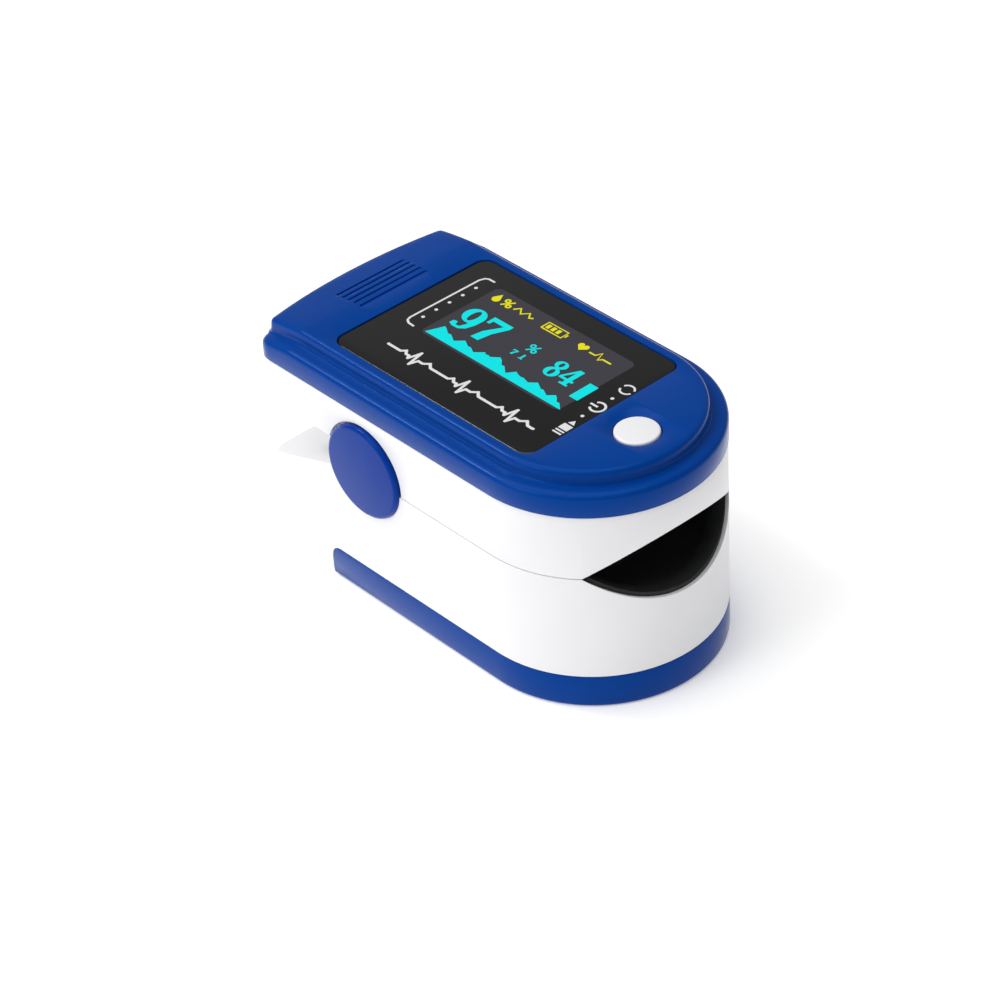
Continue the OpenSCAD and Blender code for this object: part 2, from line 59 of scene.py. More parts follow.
def only(piece):
    """Selects one object and makes it active."""
    bpy.ops.object.select_all(action="DESELECT")
    piece.select_set(True)
    bpy.context.view_layer.objects.active = piece


def settle(name):
    """Names the new object and puts its place, turn and scale in its mesh."""
    piece = bpy.context.object
    piece.name = name
    bpy.ops.object.transform_apply(location=True, rotation=True, scale=True)
    return piece


def block(name, low, high):
    """Rectangular block between two corners in mm."""
    bpy.ops.object.select_all(action="DESELECT")
    middle = [(a + b) / 2 * mm for a, b in zip(low, high)]
    bpy.ops.mesh.primitive_cube_add(size=1, location=middle)
    bpy.context.object.scale = [(b - a) * mm for a, b in zip(low, high)]
    return settle(name)


def drum(name, axis, radius, start, end, across, sides=64):
    """Cylinder along axis x, y or z from start to end; across is its place on the other two axes."""
    bpy.ops.object.select_all(action="DESELECT")
    turn = {"x": (0, math.pi / 2, 0), "y": (math.pi / 2, 0, 0), "z": (0, 0, 0)}[axis]
    place = list(across)
    place.insert("xyz".index(axis), (start + end) / 2)
    bpy.ops.mesh.primitive_cylinder_add(
        vertices=sides, radius=radius * mm, depth=(end - start) * mm,
        location=[v * mm for v in place], rotation=turn,
    )
    return settle(name)


def pick_edges(piece, test):
    """Opens the piece for editing with the edges whose two ends, in mm, pass the test."""
    only(piece)
    bpy.ops.object.mode_set(mode="EDIT")
    bpy.ops.mesh.select_mode(type="EDGE")
    bpy.ops.mesh.select_all(action="DESELECT")
    shape = bmesh.from_edit_mesh(piece.data)
    for edge in shape.edges:
        a, b = (v.co / mm for v in edge.verts)
        if test(a, b):
            edge.select_set(True)
    bmesh.update_edit_mesh(piece.data)


def pick_faces(piece, test):
    """The same for faces, by their middle in mm and their normal."""
    only(piece)
    bpy.ops.object.mode_set(mode="EDIT")
    bpy.ops.mesh.select_mode(type="FACE")
    bpy.ops.mesh.select_all(action="DESELECT")
    shape = bmesh.from_edit_mesh(piece.data)
    for face in shape.faces:
        if test(face.calc_center_median() / mm, face.normal):
            face.select_set(True)
    bmesh.update_edit_mesh(piece.data)


def done():
    bpy.ops.object.mode_set(mode="OBJECT")


def round_edges(piece, test, offset, segments=3):
    """Rounds chosen edges by hand in edit mode."""
    pick_edges(piece, test)
    bpy.ops.mesh.bevel(offset=offset * mm, segments=segments, affect="EDGES")
    done()


def at_height(z, slack=0.01):
    return lambda a, b: abs(a.z - z) < slack and abs(b.z - z) < slack


def upright(x_low, x_high):
    """Edges that stand upright between two places along X."""
    return lambda a, b: (
        abs(a.x - b.x) < 0.01 and abs(a.y - b.y) < 0.01 and x_low < a.x < x_high
    )


def shell_block(name, half, front, rear, corner, low, high):
    """Block with a half-round front and rounded rear corners: half a drum drawn out to the rear."""
    arc_x = front - half
    piece = drum(name, "z", half, low, high, (arc_x, 0), sides=128)
    only(piece)
    bpy.ops.object.mode_set(mode="EDIT")
    bpy.ops.mesh.select_all(action="SELECT")
    bpy.ops.mesh.bisect(
        plane_co=(arc_x * mm, 0, 0), plane_no=(1, 0, 0), use_fill=True, clear_inner=True
    )
    done()
    pick_faces(piece, lambda c, n: n.x < -0.9)
    bpy.ops.mesh.extrude_region_move(
        TRANSFORM_OT_translate={"value": ((rear - arc_x) * mm, 0, 0)}
    )
    done()
    round_edges(piece, upright(rear - 0.01, rear + 0.01), corner, 8)
    return piece


def side_prism(name, outline, low_y, high_y):
    """Outline of x, z points in mm, carried across from low_y to high_y."""
    bpy.ops.object.select_all(action="DESELECT")
    bpy.ops.mesh.primitive_circle_add(vertices=len(outline), radius=mm, fill_type="NGON")
    piece = settle(name)
    for vertex, (x, z) in zip(piece.data.vertices, outline):
        vertex.co = (x * mm, low_y * mm, z * mm)
    only(piece)
    bpy.ops.object.mode_set(mode="EDIT")
    bpy.ops.mesh.select_all(action="SELECT")
    bpy.ops.mesh.extrude_region_move(
        TRANSFORM_OT_translate={"value": (0, (high_y - low_y) * mm, 0)}
    )
    bpy.ops.mesh.select_all(action="SELECT")
    bpy.ops.mesh.normals_make_consistent(inside=False)
    done()
    return piece


def carve(piece, tool, how="DIFFERENCE"):
    """Cuts, joins or crosses the piece with a tool, which is then thrown away."""
    change = piece.modifiers.new("carve", "BOOLEAN")
    change.operation = how
    change.solver = "EXACT"
    change.object = tool
    only(piece)
    bpy.ops.object.modifier_apply(modifier=change.name)
    bpy.data.objects.remove(tool, do_unlink=True)


def ease(piece, width, segments=2, angle=38):
    """Bevels sharp edges and shades the rest smooth. Very short edges hold a bevel down to nothing."""
    soft = piece.modifiers.new("ease", "BEVEL")
    soft.width = width * mm
    soft.segments = segments
    soft.limit_method = "ANGLE"
    soft.angle_limit = math.radians(angle)
    soft.harden_normals = False
    only(piece)
    bpy.ops.object.modifier_apply(modifier=soft.name)
    bpy.ops.object.shade_smooth_by_angle(angle=math.radians(angle))


def linear(hex_colour):
    """An sRGB hex colour as linear red, green, blue and alpha."""
    parts = [int(hex_colour[i:i + 2], 16) / 255 for i in (1, 3, 5)]
    return [p / 12.92 if p <= 0.04045 else ((p + 0.055) / 1.055) ** 2.4 for p in parts] + [1]


def add(material, kind, inputs=(), **settings):
    """Adds one shader node with its settings, and its inputs as values or links."""
    new = material.node_tree.nodes.new(kind)
    for key, value in settings.items():
        setattr(new, key, value)
    for key, value in dict(inputs).items():
        if isinstance(value, bpy.types.NodeSocket):
            material.node_tree.links.new(value, new.inputs[key])
        else:
            new.inputs[key].default_value = value
    return new


def blank(name):
    """New material with only its output node."""
    material = bpy.data.materials.new(name)
    material.use_nodes = True
    material.node_tree.nodes.clear()
    return material


def per_mm(size):
    """Noise scale whose features are about that many mm across."""
    return 1 / (size * mm)


def moulded(name, colour, shade, roughness, grain=0.12, depth=0.004, ior=1.54, gloss=0.5,
            tint="#ffffff"):
    """Moulded plastic: two near colours in broad soft patches, and the mould's fine spark texture."""
    material = blank(name)
    place = add(material, "ShaderNodeTexCoord").outputs["Object"]
    patches = add(material, "ShaderNodeTexNoise",
                  {"Vector": place, "Scale": per_mm(9), "Detail": 3.0})
    body = add(material, "ShaderNodeMix",
               {"Factor": patches.outputs["Fac"], 6: linear(colour), 7: linear(shade)},
               data_type="RGBA")
    fine = add(material, "ShaderNodeTexNoise",
               {"Vector": place, "Scale": per_mm(grain), "Detail": 2.0})
    rough = add(material, "ShaderNodeMapRange",
                {"Value": patches.outputs["Fac"], "To Min": roughness - 0.04,
                 "To Max": roughness + 0.04})
    bump = add(material, "ShaderNodeBump",
               {"Height": fine.outputs["Fac"], "Strength": 1.0, "Distance": depth * mm})
    surface = add(material, "ShaderNodeBsdfPrincipled",
                  {"Base Color": body.outputs[2], "Roughness": rough.outputs["Result"],
                   "Normal": bump.outputs["Normal"], "IOR": ior, "Specular IOR Level": gloss,
                   "Specular Tint": linear(tint)})
    add(material, "ShaderNodeOutputMaterial", {"Surface": surface.outputs["BSDF"]})
    return material


def finish(piece, body, slot, material, *nodes):
    """Gives a piece its material, its body and the CAD nodes that it stands for. Its slot is not used."""
    piece.data.materials.clear()
    piece.data.materials.append(material)
    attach(piece, body)
    if nodes:
        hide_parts(*nodes)


# White ABS with a fine satin spark finish: nearly white, with soft wide highlights.
white_abs = moulded("satin white ABS", "#f3f3f4", "#ececef", 0.36)

low, high = (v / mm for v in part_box("lower_shell"))
half_w = high.y
rear_x, front_x = low.x, high.x
heel_z = low.z
parting_z = 19.25
pin_low, pin_high = (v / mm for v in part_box("hinge_pin"))
pin_x = (pin_low.x + pin_high.x) / 2
pin_z = (pin_low.z + pin_high.z) / 2
arc_x = front_x - half_w
cover_low, cover_high = (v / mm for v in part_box("battery_cover"))
tray_low, tray_high = (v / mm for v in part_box("battery_tray"))
sensor_x = sum(v.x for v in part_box("sensor_window")) / 2 / mm
tray_floor = tray_low.z - 0.1
bay_top = tray_high.z + 0.1
chamber_x = pin_x + 6.2
mouth_depth = 4.9
lip_r = (12.1 ** 2 + mouth_depth ** 2) / (2 * mouth_depth)
lip_z = parting_z - mouth_depth + lip_r
cable_x = pin_x + 3.75
bay_rear, bay_front = (v.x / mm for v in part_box("contact_plates"))
cell_y = 5.6
cell_z = 7.3
bay_r = 5.55
ear_in, ear_out = 12.4, 14.2


def cover_outline(grow):
    """Side outline of the battery cover, with a rounded rear corner."""
    corner = 1.6
    turn = [math.radians(a) for a in (180, 157.5, 135, 112.5, 90)]
    return [
        (cover_low.x - grow, -grow), (cover_low.x - grow, cover_high.z - corner - 0.6)
    ] + [
        (cover_low.x + corner + (corner + grow) * math.cos(a),
         cover_high.z - corner + (corner + grow) * math.sin(a)) for a in turn
    ] + [(front_x + 1, cover_high.z + grow), (front_x + 1, -grow)]


# The top of the wall falls away behind the pin, down to this height at the rear.
rear_wall_z, wall_slope = 13.7, 0.332
shell = shell_block("lower_shell_moulding", half_w, front_x, rear_x, 2.5, heel_z, parting_z)
carve(shell, side_prism("side", [
    (rear_x, rear_wall_z), (rear_x + (parting_z - rear_wall_z) / wall_slope, parting_z),
    (front_x + 1, parting_z), (front_x + 1, heel_z), (rear_x + 4.2, heel_z),
    (rear_x + 2.8, heel_z + 0.25), (rear_x + 1.6, heel_z + 0.8), (rear_x + 0.6, heel_z + 1.9),
    (rear_x + 0.15, heel_z + 2.7), (rear_x, heel_z + 3.6),
], -20, 20), "INTERSECT")
step = side_prism("step", cover_outline(0.1), -20, 20)
carve(step, shell_block("skirt", half_w - 1.5, front_x - 1.5, rear_x + 1.5, 1.0,
                        tray_floor, cover_high.z + 1))
carve(shell, step)
carve(shell, shell_block("bay", half_w - 2.9, front_x - 2.9, rear_x + 2.9, 0.4,
                         tray_floor, bay_top))
mouth_of_bay = shell_block("bay", half_w - 2.9, front_x - 2.9, rear_x + 2.9, 0.4, -1, bay_top)
carve(mouth_of_bay, block("front", (cover_low.x, -20, -2), (40, 20, 20)), "INTERSECT")
carve(shell, mouth_of_bay)
for side in (-1, 1):
    carve(shell, drum("cell", "x", bay_r, bay_rear, bay_front, (side * cell_y, cell_z)))
trough = drum("trough", "x", lip_r + 0.8, chamber_x, front_x - 1.8, (0, lip_z), sides=160)
room = shell_block("room", half_w - 1.8, front_x - 1.8, rear_x, 0.4, bay_top + 0.5, parting_z + 1)
carve(trough, room, "INTERSECT")
carve(shell, trough)
carve(shell, drum("mouth", "x", lip_r, chamber_x + 1, front_x + 1, (0, lip_z), sides=160))
carve(shell, block("sensor", (sensor_x - 1.8, -1.8, bay_top - 1), (sensor_x + 1.8, 1.8, 19)))
carve(shell, drum("window", "z", 3.4, bay_top + 0.6, 24, (sensor_x, 0)))
for side in (-1, 1):
    carve(shell, drum("screw", "z", 0.6, 0, bay_top + 0.8, (bay_front + 1.15, side * 2.8), 24))
    carve(shell, drum("lobe", "y", 5.8, *sorted((side * ear_out, side * 18)), (pin_x, pin_z)))
    carve(shell, drum("cap", "y", 6.4, *sorted((side * 16.0, side * 18)), (pin_x, pin_z)))
    inner, outer = sorted((side * 14.05, side * 15))
    carve(shell, block("rail", (cover_low.x, inner, 2.95), (front_x, outer, 3.95)))
carve(shell, drum("pocket", "y", 4.6, -ear_out - 0.01, ear_out + 0.01, (pin_x, pin_z)))
carve(shell, block("slot", (cable_x - 0.4, -2.6, bay_top - 1), (cable_x + 1.15, 2.6, 20)))
for side in (-1, 1):
    inner, outer = sorted((side * ear_in, side * ear_out))
    carve(shell, drum("ear", "y", 3.9, inner, outer, (pin_x, pin_z)), "UNION")
    carve(shell, block("ear", (pin_x - 3.9, inner, bay_top + 1), (pin_x + 3.9, outer, pin_z)), "UNION")
    carve(shell, drum("bore", "y", 1.5, inner - 1, outer + 1, (pin_x, pin_z)))
ease(shell, 0.14)
finish(shell, "lower_half", "shell_white", white_abs, "lower_shell")


# ---------------------------------------------------------------- lower finger pad
# Soft black silicone liner moulded to the trough under the fingertip. A row
# of low ribs across it keeps the finger from sliding out.

# Silicone rubber: matte, very dark grey, with a dusty sheen.
silicone = moulded("matte black silicone", "#1a1b1d", "#232426", 0.62, grain=0.2, depth=0.006, ior=1.41)

pad_low, pad_high = (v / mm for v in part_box("lower_finger_pad"))
pad = drum("lower_finger_pad_moulding", "x", lip_r + 0.8, pad_low.x, front_x - 1.8, (0, lip_z), sides=160)
inner_r = lip_r - 0.2
carve(pad, drum("hollow", "x", inner_r, pad_low.x + 1, front_x + 1, (0, lip_z), sides=160))
carve(pad, shell_block("room", half_w - 1.8, front_x - 1.8, pad_low.x - 3, 0.4,
                       bay_top + 0.5, pad_high.z), "INTERSECT")
carve(pad, drum("window", "z", 3.4, 5, 40, (sensor_x, 0)))
bead = drum("bead", "x", lip_r, arc_x, front_x, (0, lip_z), sides=160)
carve(bead, drum("hollow", "x", lip_r - 0.6, arc_x - 1, front_x + 1, (0, lip_z), sides=160))
around = shell_block("around", half_w - 0.45, front_x - 0.45, rear_x, 0.4, pad_low.z - 0.1, pad_high.z)
carve(around, shell_block("inner", half_w - 2.6, front_x - 2.6, rear_x - 1, 0.4,
                          pad_low.z - 1, pad_high.z + 1))
carve(bead, around, "INTERSECT")
carve(pad, bead, "UNION")
for rib_number in range(9):
    rib_x = pad_low.x + 3 + 2.6 * rib_number
    if abs(rib_x - sensor_x) > 4.6:
        rib = drum("rib", "x", inner_r + 0.1, rib_x - 0.35, rib_x + 0.35, (0, lip_z), sides=160)
        carve(rib, drum("hollow", "x", inner_r - 0.28, rib_x - 1, rib_x + 1, (0, lip_z), sides=160))
        carve(rib, shell_block("room", half_w - 4.2, front_x - 3, pad_low.x - 3, 0.4,
                               pad_low.z, pad_low.z + 2.2), "INTERSECT")
        carve(pad, rib, "UNION")
ease(pad, 0.1)
finish(pad, "lower_half", "pad_silicone", silicone, "lower_finger_pad")


# ---------------------------------------------------------------- optical sensor
# Red-tinted window in the floor of the trough, with the photodiode below it
# on a narrow green circuit board that is let into the battery tray's top.

def clear_plastic(name, colour, roughness, weight):
    """Moulded polycarbonate that lets part of the light through."""
    material = blank(name)
    place = add(material, "ShaderNodeTexCoord").outputs["Object"]
    waves = add(material, "ShaderNodeTexNoise", {"Vector": place, "Scale": per_mm(2.5)})
    bump = add(material, "ShaderNodeBump",
               {"Height": waves.outputs["Fac"], "Strength": 1.0, "Distance": 0.01 * mm})
    surface = add(material, "ShaderNodeBsdfPrincipled",
                  {"Base Color": linear(colour), "Roughness": roughness, "IOR": 1.58,
                   "Transmission Weight": weight, "Normal": bump.outputs["Normal"]})
    add(material, "ShaderNodeOutputMaterial", {"Surface": surface.outputs["BSDF"]})
    return material


def disc(name, node, bevel, sides=64):
    """Upright round disc that fills a node's box, with its rims rounded."""
    a, b = (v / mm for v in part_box(node))
    middle = ((a.x + b.x) / 2, (a.y + b.y) / 2)
    piece = drum(name, "z", (b.x - a.x) / 2, a.z, b.z, middle, sides)
    round_edges(piece, at_height(b.z), bevel)
    return piece


def bar(name, node, bevel, segments=2):
    """Rectangular block that fills a node's box, with all its edges rounded."""
    a, b = (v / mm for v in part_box(node))
    piece = block(name, a, b)
    round_edges(piece, lambda p, q: True, bevel, segments)
    return piece


def smooth(piece, angle=38):
    only(piece)
    bpy.ops.object.shade_smooth_by_angle(angle=math.radians(angle))


# Tinted polycarbonate: smooth, deep red, with a hard clean highlight.
red_window = clear_plastic("red tinted polycarbonate", "#a8242a", 0.08, 0.35)
window = disc("sensor_window_disc", "sensor_window", 0.25)
smooth(window)
finish(window, "lower_half", "window_red", red_window, "sensor_window")

# Photodiode package: black moulded epoxy with a slightly glossy face.
diode_epoxy = moulded("dark diode epoxy", "#2a2e36", "#333842", 0.25, grain=0.3, depth=0.002)
diode = bar("photodiode_package", "photodiode", 0.12)
smooth(diode)
finish(diode, "lower_half", "diode_dark", diode_epoxy, "photodiode")


def circuit_board(name):
    """Solder-masked laminate: green mask over copper tracks, which show as lighter raised lines."""
    material = blank(name)
    place = add(material, "ShaderNodeTexCoord").outputs["Object"]
    cells = add(material, "ShaderNodeTexVoronoi", {"Vector": place, "Scale": per_mm(1.4)},
                feature="DISTANCE_TO_EDGE")
    track = add(material, "ShaderNodeMapRange",
                {"Value": cells.outputs["Distance"], "From Min": 0.06, "From Max": 0.09,
                 "To Min": 1.0, "To Max": 0.0})
    colour = add(material, "ShaderNodeMix",
                 {"Factor": track.outputs["Result"], 6: linear("#14572e"), 7: linear("#2a7a45")},
                 data_type="RGBA")
    bump = add(material, "ShaderNodeBump",
               {"Height": track.outputs["Result"], "Strength": 1.0, "Distance": 0.03 * mm})
    surface = add(material, "ShaderNodeBsdfPrincipled",
                  {"Base Color": colour.outputs[2], "Roughness": 0.35, "IOR": 1.5,
                   "Normal": bump.outputs["Normal"]})
    add(material, "ShaderNodeOutputMaterial", {"Surface": surface.outputs["BSDF"]})
    return material


# Solder mask: glossy green lacquer, lighter where copper runs under it.
solder_mask = circuit_board("green solder mask")
small_board = bar("sensor_board_laminate", "sensor_board", 0.08, 1)
finish(small_board, "lower_half", "board_green", solder_mask, "sensor_board")


# ---------------------------------------------------------------- battery tray
# Light grey ABS tray screwed up into the lower shell. Its half-round beds for
# the cells break through its top in two slots, where plus and minus signs lie.

# Unpolished ABS: light grey and more matte than the outer shells.
grey_abs = moulded("matte grey ABS", "#d2d3d4", "#c8c9cb", 0.5)

board_low, board_high = (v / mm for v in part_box("sensor_board"))
tray = shell_block("battery_tray_moulding", half_w - 3.1, front_x - 3.1, rear_x + 3.1, 0.4,
                   tray_low.z, tray_high.z)
for side in (-1, 1):
    carve(tray, drum("cell", "x", bay_r, bay_rear, bay_front, (side * cell_y, cell_z)))
carve(tray, block("opening", (bay_rear, -cell_y - bay_r, -1), (bay_front, cell_y + bay_r, cell_z)))
for side in (-1, 1):
    place = (bay_front + 1.15, side * 2.8)
    carve(tray, drum("head", "z", 1.1, 0, tray_high.z - 3, place, 32))
    carve(tray, drum("shank", "z", 0.7, 0, 20, place, 24))
carve(tray, block("notch", (cable_x - 0.7, board_low.y - 0.2, board_low.z - 0.1),
                  (board_high.x + 0.3, board_high.y + 0.2, 20)))
for x, y, plus in ((bay_front - 5, cell_y, True), (bay_rear + 5, cell_y, False),
                   (bay_rear + 5, -cell_y, True), (bay_front - 5, -cell_y, False)):
    floor_z = cell_z + bay_r
    carve(tray, block("sign", (x - 1.3, y - 0.3, floor_z - 0.4), (x + 1.3, y + 0.3, floor_z - 0.28)), "UNION")
    if plus:
        sign_bar = block("sign", (x - 0.3, y - 1.3, floor_z - 0.5), (x + 0.3, y + 1.3, floor_z - 0.28))
        carve(tray, sign_bar, "UNION")
ease(tray, 0.1)
finish(tray, "lower_half", "tray_grey", grey_abs, "battery_tray")


# ---------------------------------------------------------------- contacts
# Stamped nickel-plated plates at both ends of the bays, with a pressed dimple
# for each cell's raised end and a conical spring for each flat end.

def metal(name, colour, roughness, streak=(1, 1, 1), size=0.6):
    """Plated or drawn metal: roughness runs in faint streaks along the way it was worked."""
    material = blank(name)
    place = add(material, "ShaderNodeTexCoord").outputs["Object"]
    drawn = add(material, "ShaderNodeMapping", {"Vector": place, "Scale": streak})
    noise = add(material, "ShaderNodeTexNoise",
                {"Vector": drawn.outputs["Vector"], "Scale": per_mm(size), "Detail": 4.0})
    rough = add(material, "ShaderNodeMapRange",
                {"Value": noise.outputs["Fac"], "To Min": roughness - 0.08,
                 "To Max": roughness + 0.1})
    bump = add(material, "ShaderNodeBump",
               {"Height": noise.outputs["Fac"], "Strength": 1.0, "Distance": 0.003 * mm})
    surface = add(material, "ShaderNodeBsdfPrincipled",
                  {"Base Color": linear(colour), "Metallic": 1.0, "Roughness": rough.outputs["Result"],
                   "Normal": bump.outputs["Normal"]})
    add(material, "ShaderNodeOutputMaterial", {"Surface": surface.outputs["BSDF"]})
    return material


def join(pieces, name):
    """Makes several objects one."""
    bpy.ops.object.select_all(action="DESELECT")
    for piece in pieces:
        piece.select_set(True)
    bpy.context.view_layer.objects.active = pieces[0]
    bpy.ops.object.join()
    pieces[0].name = name
    return pieces[0]


def wire(name, points, radius, sides=4):
    """Round wire through points in mm, made a mesh with closed ends."""
    curve = bpy.data.curves.new(name, "CURVE")
    curve.dimensions = "3D"
    curve.bevel_depth = radius * mm
    curve.bevel_resolution = sides
    curve.use_fill_caps = True
    run = curve.splines.new("POLY")
    run.points.add(len(points) - 1)
    for point, place in zip(run.points, points):
        point.co = (*(v * mm for v in place), 1)
    piece = bpy.data.objects.new(name, curve)
    bpy.context.scene.collection.objects.link(piece)
    only(piece)
    bpy.ops.object.convert(target="MESH")
    piece = bpy.context.object
    bpy.ops.object.mode_set(mode="EDIT")
    bpy.ops.mesh.select_all(action="SELECT")
    bpy.ops.mesh.remove_doubles(threshold=0.005 * mm)
    bpy.ops.mesh.normals_make_consistent(inside=False)
    done()
    smooth(piece, 60)
    return piece


# Nickel plate on stamped steel: bright and slightly yellow, drawn in one direction.
nickel = metal("nickel plated steel", "#cfccc4", 0.24, streak=(1, 1, 8))
plates = []
for side in (-1, 1):
    for x, faces_cell in ((bay_rear, side < 0), (bay_front - 0.5, side > 0)):
        plate = block("plate", (x, side * cell_y - 3.2, cell_z - 3.2),
                      (x + 0.5, side * cell_y + 3.2, cell_z + 3.2))
        round_edges(plate, lambda a, b: abs(a.x - b.x) > 0.1, 0.8, 4)
        if faces_cell:
            inward = 1 if x < 0 else -1
            start = x + 0.5 if inward > 0 else x
            carve(plate, drum("dimple", "x", 1.1, *sorted((start - 0.1 * inward, start + 0.02 * inward)),
                              (side * cell_y, cell_z), 32), "UNION")
        plates.append(plate)
plates = join(plates, "contact_plate_set")
ease(plates, 0.06, 1)
finish(plates, "lower_half", "contact_nickel", nickel, "contact_plates")

coils = []
for side, base_x in ((1, bay_rear + 0.75), (-1, bay_front - 0.75)):
    points = []
    for k in range(91):
        part = k / 90
        angle = 2 * math.pi * 2.5 * part
        radius = 2.9 - 1.3 * part
        points.append((base_x + side * 2.0 * part, side * cell_y + radius * math.cos(angle),
                       cell_z + radius * math.sin(angle)))
    coils.append(wire("coil", points, 0.25))
coils = join(coils, "contact_spring_pair")
finish(coils, "lower_half", "contact_nickel", nickel, "contact_springs")


# ---------------------------------------------------------------- cells
# Two AAA cells: a steel can in a plastic sleeve that is shrunk over both
# shoulders, with a bare flat end and a raised cap at the other end.

def cell_sleeve(name, start, length):
    """Printed sleeve: green with a copper-coloured band towards the raised end, and bare steel ends."""
    material = blank(name)
    place = add(material, "ShaderNodeTexCoord").outputs["Object"]
    along = add(material, "ShaderNodeSeparateXYZ", {"Vector": place}).outputs["X"]
    part = add(material, "ShaderNodeMapRange",
               {"Value": along, "From Min": start * mm, "From Max": (start + length) * mm})
    bands = add(material, "ShaderNodeValToRGB", {"Fac": part.outputs["Result"]})
    ramp = bands.color_ramp
    ramp.interpolation = "CONSTANT"
    ramp.elements[0].color = linear("#1f6b4a")
    ramp.elements[1].position = 0.72
    ramp.elements[1].color = linear("#c98a3a")
    line = ramp.elements.new(0.7)
    line.color = linear("#e9e6da")
    speck = add(material, "ShaderNodeTexNoise", {"Vector": place, "Scale": per_mm(0.8)})
    rough = add(material, "ShaderNodeMapRange",
                {"Value": speck.outputs["Fac"], "To Min": 0.2, "To Max": 0.34})
    surface = add(material, "ShaderNodeBsdfPrincipled",
                  {"Base Color": bands.outputs["Color"], "Roughness": rough.outputs["Result"],
                   "IOR": 1.5})
    add(material, "ShaderNodeOutputMaterial", {"Surface": surface.outputs["BSDF"]})
    return material


# Tin-plated can ends: bright, smooth and slightly warm.
can_steel = metal("tin plated steel", "#d5d3ce", 0.2)
for node, forward in (("battery_left", 1), ("battery_right", -1)):
    a, b = (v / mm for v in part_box(node))
    centre = ((a.y + b.y) / 2, (a.z + b.z) / 2)
    radius = (b.y - a.y) / 2
    flat, tip = (a.x, b.x) if forward > 0 else (b.x, a.x)
    shoulder = tip - forward * 1.2
    can = drum("can", "x", radius, *sorted((flat, shoulder)), centre, 96)
    round_edges(can, lambda p, q: abs(p.x - q.x) < 0.01, 0.45, 4)
    pick_faces(can, lambda c, n: abs(n.x) > 0.99)
    bpy.ops.mesh.inset(thickness=0.7 * mm, depth=0)
    bpy.ops.mesh.inset(thickness=0.15 * mm, depth=-0.2 * mm)
    done()
    cap = drum("cap", "x", 1.9, *sorted((shoulder - forward * 0.3, tip)), centre, 48)
    round_edges(cap, lambda p, q: abs(p.x - tip) < 0.01 and abs(q.x - tip) < 0.01, 0.3, 4)
    cell = join([can, cap], node + "_cell")
    smooth(cell)
    finish(cell, "lower_half", "cell_sleeve",
           cell_sleeve(node + " printed sleeve", min(flat, tip) if forward > 0 else max(flat, tip),
                       45.5 * forward), node)
    cell.data.materials.append(can_steel)
    for face in cell.data.polygons:
        middle = face.center / mm
        out = math.hypot(middle.y - centre[0], middle.z - centre[1])
        if out < radius - 0.85 or (middle.x - shoulder) * forward > 0.02:
            face.material_index = 1


# ---------------------------------------------------------------- tray screws
# Two small cross-head screws that hold the tray up into the lower shell.

def cross_screw(name, place, top, shank, head, upward=True, low=0.0):
    """Pan-head screw with a cross recess: head from top, shank below or above it."""
    head_r, head_h = head
    way = 1 if upward else -1
    end = top - way * head_h
    piece = drum(name, "z", head_r, *sorted((top, end)), place, 40)
    round_edges(piece, at_height(top), head_h * 0.35, 4)
    carve(piece, drum("shank", "z", shank, *sorted((end + way * 0.05, low)), place, 24), "UNION")
    for turn in (0, 1):
        size = (head_r * 0.62, head_r * 0.13) if turn else (head_r * 0.13, head_r * 0.62)
        carve(piece, block("recess", (place[0] - size[0], place[1] - size[1],
                                      min(top - way * head_h * 0.6, top + way)),
                           (place[0] + size[0], place[1] + size[1],
                            max(top - way * head_h * 0.6, top + way))))
    return piece


# Zinc-plated steel: pale grey, with a slight brushed look.
zinc = metal("zinc plated steel", "#b9bbbf", 0.3)
screws = [cross_screw("screw", (bay_front + 1.15, side * 2.8), tray_high.z - 4, 0.6, (1.0, 1.0),
                      upward=False, low=bay_top + 0.75) for side in (-1, 1)]
screws = join(screws, "tray_screw_pair")
smooth(screws)
finish(screws, "lower_half", "screw_steel", zinc, "tray_screws")


# ---------------------------------------------------------------- battery cover
# Blue ABS cover whose rim shows as a band round the foot. Rails on its inner
# walls run in the shell's grooves, and it slides off towards the front.

# Blue ABS in the same satin finish as the top cover.
blue_abs = moulded("satin blue ABS", "#013a8b", "#013e93", 0.2, gloss=0.2, tint="#6a9af0")

lid = shell_block("battery_cover_moulding", half_w, front_x, rear_x, 2.5, 0, cover_high.z)
carve(lid, side_prism("side", cover_outline(0), -20, 20), "INTERSECT")
round_edges(lid, at_height(0), 0.5, 4)
carve(lid, shell_block("hollow", half_w - 1.3, front_x - 1.3, rear_x, 1.0, 1.4, 10))
for groove in range(5):
    start = front_x - 9 + 1.4 * groove
    carve(lid, block("groove", (start, -6, -1), (start + 0.7, 6, 0.4)))
for side in (-1, 1):
    inner, outer = sorted((side * 14.2, side * 15.1))
    carve(lid, block("rail", (cover_low.x + 2, inner, 3.1), (arc_x, outer, 3.8)), "UNION")
ease(lid, 0.12)
finish(lid, "cover", "cover_blue", blue_abs, "battery_cover")


# ---------------------------------------------------------------- hinge pin and caps
# Ground steel pin pressed through the lower ears, closed at each side by a
# round blue cap with a softly rounded rim.

# Ground steel: bright, with fine rings round the pin.
pin_steel = metal("ground steel", "#c4c6ca", 0.16, streak=(1, 6, 1))
pin = drum("hinge_pin_rod", "y", 1.5, pin_low.y, pin_high.y, (pin_x, pin_z), 48)
round_edges(pin, lambda a, b: abs(a.y - b.y) < 0.01, 0.3, 3)
smooth(pin)
finish(pin, "lower_half", "pin_steel", pin_steel, "hinge_pin")

